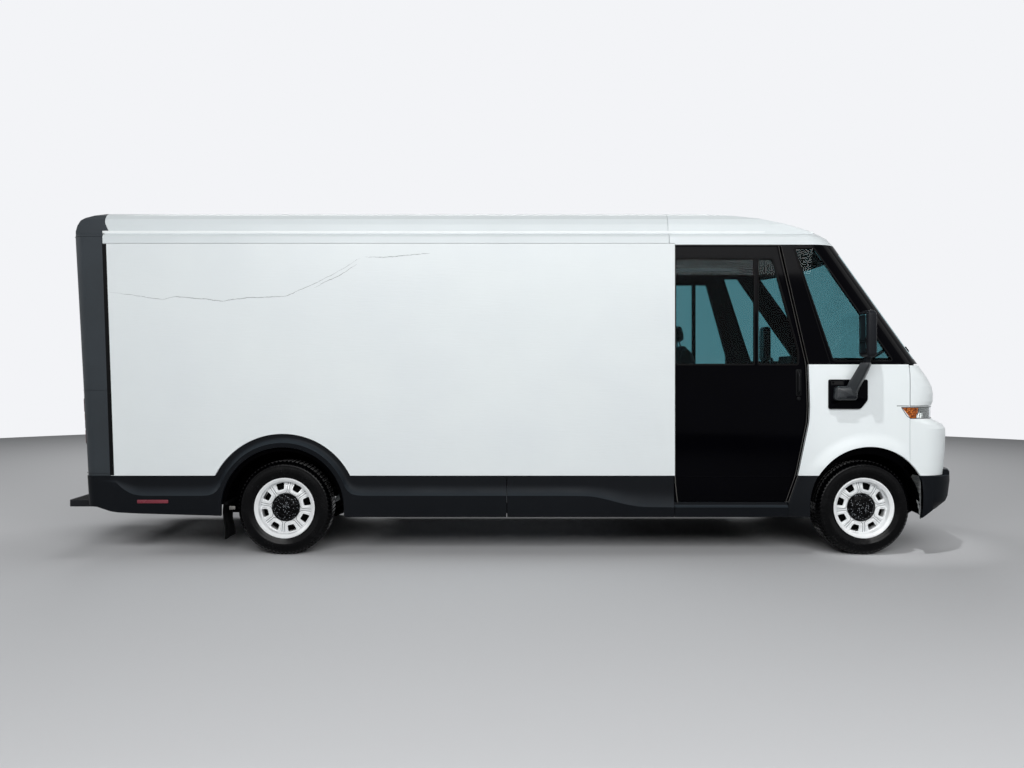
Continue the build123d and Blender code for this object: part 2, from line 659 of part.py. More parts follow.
# ---- tail ---------------------------------------------------------------------------------
def make_tail():
    parts = {}
    far = half_width + 50.0
    portal = tail_form(0.0) & behind_tail_joint(seam / 2)
    portal &= block(rear_x, 0.0, -far, far, cladding_top_z + seam / 2, 3000.0)
    hollow = tail_form(skin) & block(rear_x, 0.0, -far, far, rear_opening_low_z - 24.0, 3000.0)
    frame = block(rear_x, rear_frame_x, -rear_opening_y - 34.0, rear_opening_y + 34.0,
                  rear_opening_low_z - 80.0, rear_opening_high_z + 34.0)
    opening = block(rear_x, rear_frame_x, -rear_opening_y, rear_opening_y, rear_opening_low_z,
                    rear_opening_high_z)
    portal = (portal - (hollow - frame)) - leaned(opening) - opening
    # Door seats: a shallow step all round, so the doors close flush.
    rebate = block(
        rear_face_low_x - 60.0, rear_face_low_x + rear_door_wall + 6.0,
        -rear_opening_y - 22.0, rear_opening_y + 22.0, rear_opening_low_z - 22.0,
        rear_opening_high_z + 22.0,
    )
    portal -= leaned(rebate)

    doors = []
    edge = rear_opening_y + 22.0 - seam - 1.0
    window_y = rear_opening_y - 210.0
    for side in (1.0, -1.0):
        leaf = block(rear_face_low_x, rear_face_low_x + rear_door_wall, side * 4.0, side * edge,
                     rear_opening_low_z - 16.0, rear_opening_high_z + 16.0)
        leaf -= block(rear_face_low_x + 3.0, rear_face_low_x + rear_door_wall + 1.0, side * 60.0,
                      side * (edge - 60.0), rear_opening_low_z + 50.0, 1400.0)
        window = block(rear_x, rear_frame_x, side * 130.0, side * window_y, 1500.0, 2230.0)
        leaf -= window
        for z in hinge_heights:
            knuckle = upright_rod(rear_hinge_x, side * rear_hinge_y, z - 38.0, z + 38.0, 12.0)
            knuckle += block(rear_hinge_x, rear_face_low_x + 2.0, side * (rear_hinge_y - 60.0),
                             side * rear_hinge_y, z - 38.0, z + 38.0)
            knuckle -= upright_rod(rear_hinge_x, side * rear_hinge_y, z - 60.0, z + 60.0, 6.0 + shaft_fit)
            relief = upright_rod(rear_hinge_x, side * rear_hinge_y, z - 75.0, z + 75.0, 34.0)
            leaf = (leaf - relief) + knuckle
        doors.append(leaned(leaf))
    parts["left_rear_door"], parts["right_rear_door"] = doors

    for side in (1.0, -1.0):
        for z in hinge_heights:
            x = rear_hinge_x
            y = side * rear_hinge_y
            hinge = upright_rod(x, y, z - 62.0, z + 62.0, 6.0)
            for z0, z1 in ((z - 62.0, z - 45.0), (z + 45.0, z + 62.0)):
                hinge += upright_rod(x, y, z0, z1, 12.0)
                hinge += block(x, x + 26.0, y, y + side * 60.0, z0, z1)
            portal += leaned(hinge)
    parts["rear_portal"] = portal

    sides = {1.0: "left", -1.0: "right"}
    lights = []
    for side in (1.0, -1.0):
        pane = block(rear_face_low_x + 6.0, rear_face_low_x + 12.0, side * (130.0 + seat),
                     side * (window_y - seat), 1500.0 + seat, 2230.0 - seat)
        parts[f"{sides[side]}_rear_door_window"] = leaned(pane)
        lamp = block(rear_face_low_x - 10.0, rear_face_low_x - seat, side * (rear_opening_y + 80.0),
                     side * (rear_opening_y + 150.0), 900.0, 1260.0)
        lights += leaned(lamp).solids()
    parts["tail_lights"] = lights
    return parts


# ---- lower body ---------------------------------------------------------------------------
def make_lower_body():
    parts = {}
    far = half_width + 50.0
    band_outline = [
        (skin_y, sill_z), (half_width, sill_z), (half_width + 6.0, sill_z + 14.0),
        (half_width + 8.0, 478.0), (half_width + 4.0, 494.0), (half_width - 6.0, 530.0),
        (half_width - 6.0, 600.0), (half_width, cladding_top_z), (skin_y, cladding_top_z),
    ]
    band = length_prism(band_outline, tail_sections[0][1] + tail_corner_radius, front_axle_x - 300.0)
    edge_outline = [
        (tail_sections[0][1] - 100.0, 420.0), (rear_axle_x - 1530.0, 410.0),
        (rear_axle_x - 1370.0, 363.0), (rear_axle_x - 1333.0, 353.0), (rear_axle_x - 766.0, 335.0),
        (rear_axle_x - 473.0, 328.0), (rear_axle_x + 500.0, sill_z), (front_axle_x - 440.0, sill_z),
        (front_axle_x - 300.0, sill_z), (front_axle_x - 300.0, cladding_top_z),
        (front_axle_x - 554.0 + seam, cladding_top_z), (front_axle_x - 632.0 + seam, step_z),
        (opening_rear_x, step_z), (opening_rear_x, cladding_top_z),
        (tail_sections[0][1] - 100.0, cladding_top_z),
    ]
    zone = side_prism(edge_outline, 0.0, far)
    flare = turned(
        [(rear_arch_opening, skin_y), (rear_arch_flare, skin_y), (rear_arch_flare, half_width + 4.0),
         (rear_arch_flare - 10.0, half_width + 12.0), (rear_arch_opening + 14.0, half_width + 12.0),
         (rear_arch_opening, half_width + 4.0)],
        rear_axle_x, hub_z,
    )
    flare &= block(rear_axle_x - 700.0, rear_axle_x + 700.0, 0.0, far, sill_z + 10.0, 1100.0)
    cladding = (band & zone) + flare
    cladding -= cross_rod(rear_axle_x, hub_z, 0.0, far, rear_arch_opening)
    cladding -= block(rear_axle_x - rear_arch_opening, rear_axle_x + rear_arch_opening, 0.0, far, 0.0,
                      hub_z)
    cladding -= front_arch(0.0, far)
    corner = (tail_form(0.0) - tail_form(skin)) & block(
        rear_x, tail_sections[0][1] + tail_corner_radius + 0.001, half_width - 200.0, far, 0.0, cladding_top_z
    )
    cladding += corner & zone
    parts["cladding"] = both(cladding)

    bumper = (tail_form(0.0) - tail_form(skin)) & block(
        rear_x, rear_x + 430.0, 200.0 + seam - half_width, half_width - 200.0 - seam, 440.0, cladding_top_z
    )
    for y in (-rail_y, rail_y):
        bumper += block(tail_sections[0][1] + 4.0, rail_rear_x - seat, y - 38.0, y + 38.0, 520.0, 620.0)
    parts["rear_bumper"] = bumper
    step_y = half_width - 384.0
    step = block(rear_x, rear_x + 288.0, -step_y, step_y, 345.0, 400.0)
    step = fillet(step.edges().filter_by(Axis.Z).group_by(Axis.X)[0], 30.0)
    for y in (-rail_y, rail_y):
        step += block(rear_x + 280.0, rail_rear_x + 160.0, y - 30.0, y + 30.0, 345.0, 400.0)
        step += block(rail_rear_x + 60.0, rail_rear_x + 160.0, y - 30.0, y + 30.0, 399.0,
                      rail_high_z - seat)
    parts["rear_step"] = step

    flap_y = tyre_y - tyre_width / 2
    flap = block(rear_axle_x - 464.0, rear_axle_x - 456.0, flap_y, half_width - 55.0, 130.0, 430.0)
    flap += block(rear_axle_x - 500.0, rear_axle_x - 450.0, flap_y - 20.0, skin_y - seat, 410.0, 440.0)
    flap += block(rear_axle_x - 500.0, rear_axle_x - 475.0, rail_y + rail_width / 2 + seat,
                  flap_y - 19.0, 415.0, 435.0)
    flap += block(rear_axle_x - 500.0, rear_axle_x - 475.0, rail_y + rail_width / 2 + seat,
                  rail_y + rail_width / 2 + 20.0, 415.0, 620.0)
    parts["mud_flaps"] = both(flap)
    return parts


# ---- chassis ------------------------------------------------------------------------------
def make_chassis():
    parts = {}
    kick_x = battery_front_x + 20.0
    rail = side_prism(
        [(rail_rear_x, rail_high_z), (kick_x, rail_high_z), (kick_x + 200.0, rail_low_z),
         (rail_front_x, rail_low_z), (rail_front_x, rail_low_top_z), (kick_x + 200.0, rail_low_top_z),
         (kick_x, rail_top_z), (rail_rear_x, rail_top_z)],
        rail_y - rail_width / 2, rail_y + rail_width / 2,
    )
    frame = rail + mirrored(rail)
    beam_y = half_width - 400.0
    frame += block(rail_rear_x, rail_rear_x + 60.0, 60.0 - skin_y, skin_y - 60.0, 560.0,
                   cladding_top_z + seam / 2)
    frame += block(rail_front_x - 1.0, rail_front_x + 60.0, -beam_y, beam_y, rail_low_z, rail_low_top_z)
    for y in (-rail_y, rail_y):
        frame += block(rail_front_x + 50.0, front_axle_x + 640.0 - seat, y - 45.0, y + 45.0, 470.0, 530.0)
    # Threaded eye for the towing ring.
    frame += Pos(rail_front_x + 20.0, 250.0, 500.0) * Rot(0, 90, 0) * Cylinder(24.0, 130.0)
    frame -= Pos(rail_front_x + 60.0, 250.0, 500.0) * Rot(0, 90, 0) * Cylinder(10.5, 100.0)
    # Uprights that carry the cab frame.
    uprights = []
    for side in (1.0, -1.0):
        post = block(rail_front_x - 20.0, rail_front_x + 60.0, side * (beam_y - 80.0), side * beam_y,
                     rail_low_z, 1150.0)
        post += block(rail_front_x - 60.0, rail_front_x + 200.0, side * (beam_y - 80.0),
                      side * (beam_y + 120.0), 1050.0, 1150.0)
        uprights += (post & nose_form(skin + frame_depth + seat)).solids()
    for post in uprights:
        frame += post
    parts["chassis_frame"] = frame

    # Cross members on the rails, outriggers hung below them, and the sills at their ends.
    members = []
    for x, reach in ((rear_x + 580.0, skin_y - seat), (rear_axle_x - 764.0, skin_y - seat),
                     (rear_axle_x + 556.0, battery_y - 60.0), (front_axle_x - 3265.0, inside_y),
                     (front_axle_x - 2565.0, inside_y), (kick_x - 64.0, inside_y)):
        members.append(block(x, x + 60.0, -reach, reach, rail_top_z + seat, cargo_floor_z - floor_thickness))
    for x in outrigger_xs:
        top = (rail_high_z if x < kick_x else rail_low_z) - seat
        edge = inside_y - seat
        under = rail_y + rail_width / 2
        members.append(length_prism(
            [(-edge, outrigger_low_z), (edge, outrigger_low_z), (edge, outrigger_low_z + 48.0), (under, top),
             (-under, top), (-edge, outrigger_low_z + 48.0)],
            x, x + 60.0,
        ))
    members += both(block(rear_axle_x + 520.0, front_axle_x - 490.0, inside_y, skin_y - seat,
                          outrigger_low_z, outrigger_low_z + 75.0))
    parts["cross_members"] = members
    return parts


def make_floors():
    parts = {}
    well_y = half_width - 400.0  # inner wall of the entry steps
    box = rear_housing_radius + housing_wall + seat
    cargo = block(tail_joint_low_x + 6.0, bulkhead_x + bulkhead_wall, -inside_y + seat,
                  inside_y - seat, cargo_floor_z - floor_thickness, cargo_floor_z)
    for side in (1.0, -1.0):
        cargo -= cross_rod(rear_axle_x, hub_z, side * (housing_inner_y - seat), side * half_width, box)
    parts["cargo_floor"] = cargo
    cab = block(bulkhead_x + bulkhead_wall + seat, front_axle_x + 330.0, -inside_y, inside_y,
                cab_floor_z - floor_thickness, cab_floor_z)
    cab += block(bulkhead_x + bulkhead_wall + seat, bulkhead_x + bulkhead_wall + 20.0, -inside_y,
                 inside_y, cab_floor_z - 20.0, cargo_floor_z)
    for side in (1.0, -1.0):
        cab -= block(front_axle_x - 470.0, front_axle_x + 500.0, side * front_housing_inner_y,
                     side * half_width, 0.0, 1000.0)
        cab -= block(opening_rear_x, front_axle_x - 640.0, side * (well_y + 20.0), side * half_width,
                     0.0, 700.0)
        cab += block(opening_rear_x, front_axle_x - 640.0, side * well_y, side * (skin_y - seat),
                     step_z - 12.0, step_z)
        cab += block(opening_rear_x, front_axle_x - 640.0, side * well_y, side * (well_y + 20.0),
                     step_z - 12.0, cab_floor_z)
    # Toe board, up to the lower edge of the dashboard.
    cab += block(front_axle_x + 310.0, front_axle_x + 330.0, -front_housing_inner_y,
                 front_housing_inner_y, cab_floor_z - 20.0, 1100.0)
    parts["cab_floor"] = cab
    return parts


def make_wheel_housings():
    ring = turned(
        [(rear_housing_radius, housing_inner_y), (rear_housing_radius, skin_y - 1.0),
         (rear_housing_radius + housing_wall, skin_y - 1.0),
         (rear_housing_radius + housing_wall, housing_inner_y)],
        rear_axle_x, hub_z,
    )
    ring += cross_rod(rear_axle_x, hub_z, housing_inner_y, housing_inner_y + housing_wall,
                      rear_housing_radius + housing_wall)
    rear = ring & block(rear_axle_x - 700.0, rear_axle_x + 700.0, 0.0, far_y, 600.0, 1000.0)
    skirt = turned(
        [(rear_housing_radius, housing_inner_y + 20.0), (rear_housing_radius, skin_y - 1.0),
         (rear_housing_radius + housing_wall, skin_y - 1.0),
         (rear_housing_radius + housing_wall, housing_inner_y + 20.0)],
        rear_axle_x, hub_z,
    )
    rear += skirt & block(rear_axle_x - 700.0, rear_axle_x + 700.0, 0.0, far_y, 440.0, 610.0)
    lip = turned(
        [(rear_housing_radius + 2.0, skin_y - 8.0), (rear_arch_opening + 20.0, skin_y - 8.0),
         (rear_arch_opening + 20.0, skin_y - seat), (rear_housing_radius + 2.0, skin_y - seat)],
        rear_axle_x, hub_z,
    )
    rear += lip & block(rear_axle_x - 700.0, rear_axle_x + 700.0, 0.0, far_y, 440.0, 1000.0)
    front = turned(
        [(front_housing_radius, front_housing_inner_y), (front_housing_radius, door_inner_y + 30.0),
         (front_housing_radius + housing_wall, door_inner_y + 30.0),
         (front_housing_radius + housing_wall, front_housing_inner_y)],
        front_axle_x, hub_z,
    )
    lip_radius = front_arch_radius + front_arch_z - hub_z + arch_lip
    lip = turned(
        [(front_housing_radius, skin_y - 28.0), (lip_radius, skin_y - 28.0),
         (lip_radius, skin_y - seat), (front_housing_radius, skin_y - seat)],
        front_axle_x, hub_z,
    )
    lip &= block(front_axle_x - 600.0, front_axle_x + 300.0, 0.0, far_y, 440.0, 1000.0)
    front += lip
    front &= block(front_axle_x - 700.0, front_x, 0.0, far_y, 400.0, 1000.0)
    wall = cross_rod(front_axle_x, hub_z, front_housing_inner_y, front_housing_inner_y + housing_wall,
                     front_housing_radius + housing_wall)
    front += wall & block(front_axle_x - 700.0, front_x, 0.0, far_y, cab_floor_z - floor_thickness, 1000.0)
    return both(rear) + both(front)


# ---- running gear -------------------------------------------------------------------------
def make_front_suspension():
    beam = block(front_axle_x - 60.0, front_axle_x + 60.0, -rail_y + 10.0, rail_y - 10.0, 200.0, 270.0)
    for side in (1.0, -1.0):
        beam += block(front_axle_x - 60.0, front_axle_x + 60.0, side * (rail_y - 50.0),
                      side * (rail_y + 30.0), 200.0, rail_low_z - seat)
        for z, root_y in ((arm_low, rail_y), (arm_high - 20.0, rail_y + 42.0)):
            root = side * root_y
            outline = [(front_axle_x - arm_reach, root), (front_axle_x + arm_reach, root),
                       (front_axle_x + 28.0, side * kingpin_y), (front_axle_x - 28.0, side * kingpin_y)]
            face = make_face(Polyline(*[(x, y, z - 14.0) for x, y in outline], close=True))
            beam += extrude(face, amount=28.0, dir=(0, 0, 1))
            beam += upright_rod(front_axle_x, side * kingpin_y, z - 20.0, z + 20.0, 34.0)
            beam -= upright_rod(front_axle_x, side * kingpin_y, z - 60.0, z + 60.0,
                                pin_radius + shaft_fit)
        beam += block(front_axle_x - 120.0, front_axle_x + 120.0, side * (rail_y + 40.0 + seat),
                      side * (rail_y + 60.0), 300.0, arm_high)
        beam += block(front_axle_x - 60.0, front_axle_x + 60.0, side * (rail_y + 20.0),
                      side * (rail_y + 60.0), 240.0, 320.0)
    # Springs between the lower arm and the rail, and the steering rack in front.
    for side in (1.0, -1.0):
        beam += upright_rod(front_axle_x, side * 560.0, arm_low, arm_high - 20.0, 40.0)
    beam += cross_rod(front_axle_x + 105.0, arm_low, -rail_y - 150.0, rail_y + 150.0, 22.0)
    return beam


def make_knuckle():
    body = block(front_axle_x - 36.0, front_axle_x + 36.0, kingpin_y - 30.0, kingpin_y + 30.0,
                 arm_low + 26.0, arm_high - 46.0)
    body += upright_rod(front_axle_x, kingpin_y, arm_low - 26.0, arm_high + 4.0, pin_radius)
    body += cross_rod(front_axle_x, hub_z, kingpin_y, hub_outer_y - 6.0, spindle_radius)
    body += cross_rod(front_axle_x, hub_z, kingpin_y + 20.0, disc_inner_y - 8.0, 60.0)
    return body


def make_rim(axle_x, first_hole):
    """A steel wheel: rolled barrel, eight-holed disc and a sleeve that turns on the spindle.
    first_hole is the angle in degrees at which the first hole stands."""
    y = tyre_y
    barrel = [
        (rim_radius, y - 118.0), (rim_radius, y - 108.0), (222.0, y - 106.0), (222.0, y - 60.0),
        (212.0, y - 40.0), (212.0, y + 40.0), (222.0, y + 60.0), (222.0, y + 106.0),
        (rim_radius, y + 108.0), (rim_radius, y + 118.0), (232.0, y + 118.0), (214.0, y + 104.0),
        (210.0, y + 70.0), (204.0, y + 46.0), (204.0, y - 44.0), (214.0, y - 64.0),
        (214.0, y - 112.0), (228.0, y - 118.0),
    ]
    disc = [
        (206.0, y + 34.0), (206.0, y + 46.0), (196.0, y + 50.0), (150.0, y + 66.0),
        (120.0, y + 64.0), (104.0, y + 48.0), (60.0, y + 48.0), (60.0, hub_outer_y),
        (spindle_radius + shaft_fit, hub_outer_y), (spindle_radius + shaft_fit, disc_inner_y),
        (60.0, disc_inner_y), (66.0, y + 36.0), (110.0, y + 36.0), (124.0, y + 52.0),
        (150.0, y + 54.0), (192.0, y + 38.0),
    ]
    rim = turned(barrel, axle_x, hub_z) + turned(disc, axle_x, hub_z)
    hole = make_face(Polyline(
        (146.0, 0, -26.0), (200.0, 0, -36.0), (200.0, 0, 36.0), (146.0, 0, 26.0), close=True
    ))
    cutter = fillet(extrude(hole, amount=200.0, dir=(0, 1, 0)).edges().filter_by(Axis.Y), 12.0)
    for i in range(8):
        rim -= Pos(axle_x, y - 20.0, hub_z) * Rot(0, 45.0 * i + first_hole, 0) * cutter
    return rim


def make_tyre(axle_x):
    y = tyre_y
    half = tyre_width / 2
    profile = [
        (222.0 + seat, y - 105.5), (rim_radius + 2.0, y - 107.0), (rim_radius + 6.0, y - 112.0),
        (300.0, y - half), (345.0, y - half + 5.0), (368.0, y - half + 20.0),
        (tyre_radius - 3.0, y - half + 40.0), (tyre_radius, y - half + 62.0),
        (tyre_radius, y + half - 62.0), (tyre_radius - 3.0, y + half - 40.0),
        (368.0, y + half - 20.0), (345.0, y + half - 5.0), (300.0, y + half),
        (rim_radius + 6.0, y + 112.0), (rim_radius + 2.0, y + 107.0), (222.0 + seat, y + 105.5),
        (222.0 + seat, y + 62.0), (290.0, y + 100.0), (340.0, y + 96.0), (362.0, y + 60.0),
        (362.0, y - 60.0), (340.0, y - 96.0), (290.0, y - 100.0), (222.0 + seat, y - 62.0),
    ]
    return turned(profile, axle_x, hub_z)


def make_rear_axle():
    parts = {}
    axle = cross_rod(rear_axle_x, hub_z, -disc_inner_y + 8.0, disc_inner_y - 8.0, 58.0)
    axle += cross_rod(rear_axle_x, hub_z, -hub_outer_y + 6.0, hub_outer_y - 6.0, spindle_radius)
    axle += cross_rod(rear_axle_x, hub_z, -190.0, 190.0, 130.0)
    parts["rear_axle"] = axle
    spring_y = rail_y + 100.0
    spring = side_prism(
        [(rear_axle_x - 640.0, 505.0), (rear_axle_x - 300.0, 462.0), (rear_axle_x - 70.0, 438.0 + seat),
         (rear_axle_x + 70.0, 438.0 + seat), (rear_axle_x + 300.0, 462.0), (rear_axle_x + 640.0, 505.0),
         (rear_axle_x + 640.0, 520.0), (rear_axle_x + 300.0, 484.0), (rear_axle_x, 474.0),
         (rear_axle_x - 300.0, 484.0), (rear_axle_x - 640.0, 520.0)],
        spring_y - 40.0, spring_y + 40.0,
    )
    for x in (rear_axle_x - 640.0, rear_axle_x + 600.0):
        spring += block(x, x + 40.0, rail_y + rail_width / 2 + seat, spring_y + 40.0, 500.0, 590.0)
    parts["leaf_springs"] = both(spring)
    return parts


# ---- inside the cab -----------------------------------------------------------------------
def make_cab_inside():
    parts = {}
    inner = nose_form(skin + 44.0)
    dash = side_prism(
        [(front_axle_x + 450.0, belt_z - 68.0), (front_axle_x + 300.0, belt_z - 40.0),
         (front_axle_x - 60.0, belt_z - 40.0), (front_axle_x - 150.0, belt_z - 110.0),
         (front_axle_x - 130.0, belt_z - 300.0), (front_axle_x - 40.0, 1100.0),
         (front_axle_x + 350.0, 1100.0), (front_axle_x + 350.0, 1130.0), (front_axle_x - 20.0, 1130.0),
         (front_axle_x - 100.0, belt_z - 300.0), (front_axle_x - 120.0, belt_z - 120.0),
         (front_axle_x - 50.0, belt_z - 70.0), (front_axle_x + 300.0, belt_z - 70.0),
         (front_axle_x + 450.0, belt_z - 98.0)],
        30.0 - inside_y, inside_y - 30.0,
    )
    dash += block(front_axle_x + 332.0, front_axle_x + 352.0, 120.0 - inside_y, inside_y - 120.0, 905.0,
                  1120.0)
    binnacle = side_prism(
        [(front_axle_x - 150.0, belt_z - 50.0), (front_axle_x + 120.0, belt_z - 50.0),
         (front_axle_x + 60.0, belt_z + 60.0), (front_axle_x - 120.0, belt_z + 90.0)],
        steering_centre[1] - 190.0, steering_centre[1] + 190.0,
    )

    sx, sy, sz = steering_centre
    column = Pos(sx, sy, sz) * Rot(0, 90.0 + column_angle, 0)
    tube = column * Pos(0, 0, 240.0) * Cylinder(38.0, 360.0)
    tube -= column * Pos(0, 0, 140.0) * Cylinder(12.0 + shaft_fit, 220.0)
    sleeve = column * Pos(0, 0, 240.0) * Cylinder(38.0 + seat, 361.0)
    parts["steering_column"] = tube
    parts["dashboard"] = ((dash + binnacle) & inner) - sleeve
    ring = Torus(200.0, 15.0)
    wheel = column * (ring + Cylinder(50.0, 46.0))
    for angle in (0.0, 120.0, 240.0):
        wheel += column * Rot(0, 0, angle) * Pos(110.0, 0, 0) * Box(180.0, 40.0, 16.0)
    wheel += column * Pos(0, 0, 120.0) * Cylinder(12.0, 240.0)
    parts["steering_wheel"] = wheel

    seat_x = front_axle_x - 830.0
    base = block(seat_x - 200.0, seat_x + 230.0, sy - 190.0, sy + 190.0, cab_floor_z, 960.0)
    back_plate = Pos(seat_x - 235.0, sy, 940.0) * Rot(0, -12.0, 0) * Pos(0, 0, 300.0) * Box(
        30.0, 300.0, 640.0
    )
    base += block(seat_x - 260.0, seat_x - 190.0, sy - 150.0, sy + 150.0, 900.0, 960.0) + back_plate
    parts["seat_frame"] = base
    cushion = block(seat_x - 190.0, seat_x + 300.0, sy - 245.0, sy + 245.0, 960.0 + seat, 1080.0)
    cushion = fillet(cushion.edges(), 40.0)
    back = Pos(seat_x - 235.0, sy, 940.0) * Rot(0, -12.0, 0) * Pos(15.0 + seat + 62.0, 0, 500.0) * fillet(
        Box(124.0, 470.0, 640.0).edges(), 45.0
    )
    head = Pos(seat_x - 235.0, sy, 940.0) * Rot(0, -12.0, 0) * Pos(15.0 + seat + 60.0, 0, 905.0) * fillet(
        Box(100.0, 270.0, 165.0).edges(), 35.0
    )
    neck = Pos(seat_x - 235.0, sy, 940.0) * Rot(0, -12.0, 0) * Pos(15.0 + seat + 60.0, 0, 822.0) * Box(
        40.0, 150.0, 60.0
    )
    parts["seat_cushions"] = [cushion, back + head + neck]
    return parts


# ---- mirrors ------------------------------------------------------------------------------
def make_mirrors():
    """Mirror on an arm: a plate on the fender, a foot, a leaning arm and an upright head."""
    y = half_width
    plate = side_prism(
        [(front_axle_x - 315.0, 1180.0), (front_axle_x - 60.0, 1180.0), (front_axle_x - 4.0, 1250.0),
         (front_axle_x - 4.0, 1417.0), (front_axle_x - 315.0, 1417.0)],
        y + seat, y + 30.0,
    )
    foot = block(front_axle_x - 292.0, front_axle_x - 110.0, y + 20.0, y + 84.0, 1252.0, 1366.0)
    foot = fillet(foot.edges().filter_by(Axis.Y), 24.0)
    arm = loft([
        Pos(front_axle_x - 158.0, y + 56.0, 1270.0) * Rectangle(96.0, 48.0),
        Pos(front_axle_x - 124.0, y + 80.0, 1380.0) * Rectangle(104.0, 54.0),
        Pos(front_axle_x - 74.0, y + 150.0, 1560.0) * Rectangle(78.0, 60.0),
        Pos(front_axle_x - 68.0, y + 162.0, mirror_low_z + 20.0) * Rectangle(60.0, 60.0),
    ], ruled=True)
    head_x = front_axle_x - 70.0
    head = fillet(
        block(head_x - 40.0, head_x + 40.0, y + 75.0, y + 255.0, mirror_low_z, mirror_high_z).edges(), 22.0
    )
    face_x = head_x - 40.0
    head -= block(face_x - 1.0, face_x + 10.0, y + 97.0, y + 233.0, mirror_low_z + 22.0, mirror_high_z - 22.0)
    glass_plate = block(face_x + 4.0, face_x + 10.0 - seat, y + 97.0 + seat, y + 233.0 - seat,
                        mirror_low_z + 22.0 + seat, mirror_high_z - 22.0 - seat)
    return {"side_mirrors": both(plate + foot + arm + head), "mirror_glass": both(glass_plate)}


# ---- everything ---------------------------------------------------------------------------
def make_all():
    parts = {}
    parts.update(make_cab())
    door = make_cab_door()
    parts["left_cab_door"] = door
    parts["left_cab_door_window"] = make_door_glass()
    parts["door_tracks"] = both(make_track())
    parts.update(make_cargo_box())
    parts.update(make_tail())
    parts.update(make_lower_body())
    parts.update(make_chassis())
    hump_y = rail_y - rail_width / 2 - 30.0
    parts["battery_pack"] = block(
        battery_rear_x, battery_front_x, -battery_y, battery_y, battery_low_z, rail_high_z - seat
    ) + block(battery_rear_x + 100.0, battery_front_x - 100.0, -hump_y, hump_y, 500.0, 560.0)
    parts.update(make_floors())
    parts["wheel_housings"] = make_wheel_housings()
    parts["front_suspension"] = make_front_suspension()
    parts.update(make_rear_axle())
    parts["left_knuckle"] = make_knuckle()
    for place, axle_x, first_hole in (("front", front_axle_x, 15.0), ("rear", rear_axle_x, 30.0)):
        parts[f"{place}_left_rim"] = make_rim(axle_x, first_hole)
        parts[f"{place}_left_tyre"] = make_tyre(axle_x)
    parts.update(make_cab_inside())
    parts.update(make_mirrors())
    for name in list(parts):
        if "left" not in name or name.startswith("left_rear_door"):
            continue
        piece = parts[name]
        solids = piece if isinstance(piece, list) else piece.solids()
        parts[name.replace("left", "right")] = [mirrored(s) for s in solids]
    return parts


os.makedirs("parts", exist_ok=True)
for name, piece in make_all().items():
    solids = piece if isinstance(piece, list) else piece.solids()
    print(name, len(solids))
    shape = solids[0] if len(solids) == 1 else Compound(children=list(solids))
    export_step(shape, f"parts/{name}.step")
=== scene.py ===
import json
import math

import bmesh
import bpy
import numpy as np
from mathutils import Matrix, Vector
from mathutils.bvhtree import BVHTree


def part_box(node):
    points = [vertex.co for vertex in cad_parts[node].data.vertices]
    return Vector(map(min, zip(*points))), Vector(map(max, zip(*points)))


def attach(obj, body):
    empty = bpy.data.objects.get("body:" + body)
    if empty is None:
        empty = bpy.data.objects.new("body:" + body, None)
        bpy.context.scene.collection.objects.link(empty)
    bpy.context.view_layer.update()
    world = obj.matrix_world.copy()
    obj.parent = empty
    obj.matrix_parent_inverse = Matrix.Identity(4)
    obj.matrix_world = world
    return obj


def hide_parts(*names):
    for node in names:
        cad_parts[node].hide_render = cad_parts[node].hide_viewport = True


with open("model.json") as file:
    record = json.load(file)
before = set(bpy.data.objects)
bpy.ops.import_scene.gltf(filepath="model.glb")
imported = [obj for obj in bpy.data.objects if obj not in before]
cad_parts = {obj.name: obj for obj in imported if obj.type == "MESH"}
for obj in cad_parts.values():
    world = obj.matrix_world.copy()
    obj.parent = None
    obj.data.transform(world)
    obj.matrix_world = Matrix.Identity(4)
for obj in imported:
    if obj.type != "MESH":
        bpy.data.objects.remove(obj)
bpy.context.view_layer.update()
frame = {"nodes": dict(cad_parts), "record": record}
print("frame loaded:", len(frame["nodes"]), "nodes")

# places read from the frame, in metres
jointOf = {joint["name"]: joint for joint in frame["record"]["behaviour"]["joints"]}
frontX = jointOf["front_left_wheel_spin"]["pos_m"][0]
rearX = jointOf["rear_left_wheel_spin"]["pos_m"][0]
wheelY = jointOf["front_left_wheel_spin"]["pos_m"][1]
hubZ = jointOf["front_left_wheel_spin"]["pos_m"][2]
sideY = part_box("side_panels")[1][1]  # the body's side plane
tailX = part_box("rear_portal")[0][0]
fx, rx, sy, tx = frontX * 1000.0, rearX * 1000.0, sideY * 1000.0, tailX * 1000.0  # the same in millimetres
print("axles at", frontX, rearX, "side plane at", round(sideY, 3))


# ---------- colour and node helpers

def linear(hexColour):
    # sRGB hex to linear: below 0.04045 divide by 12.92, above it ((c + 0.055) / 1.055) to the power 2.4
    c = np.array([int(hexColour[i:i + 2], 16) for i in (1, 3, 5)]) / 255.0
    lin = np.where(c <= 0.04045, c / 12.92, ((c + 0.055) / 1.055) ** 2.4)
    return (float(lin[0]), float(lin[1]), float(lin[2]), 1.0)


def add(tree, kind, settings=None, links=None):
    # adds a shader node: settings are attributes or input values, links feed its inputs from other nodes' outputs
    node = tree.nodes.new("ShaderNode" + kind)
    for key, value in (settings or {}).items():
        if isinstance(key, str) and hasattr(node, key):
            setattr(node, key, value)
        else:
            node.inputs[key].default_value = value
    for key, socket in (links or {}).items():
        tree.links.new(socket, node.inputs[key])
    return node


def feed(node, name, socket):
    # feeds one named input of a node
    node.id_data.links.new(socket, node.inputs[name])


def noise(tree, place, scale, detail, **more):
    # cloudy noise, with its scale to the metre
    return add(tree, "TexNoise", {"Scale": scale, "Detail": detail, **more}, {"Vector": place}).outputs["Fac"]


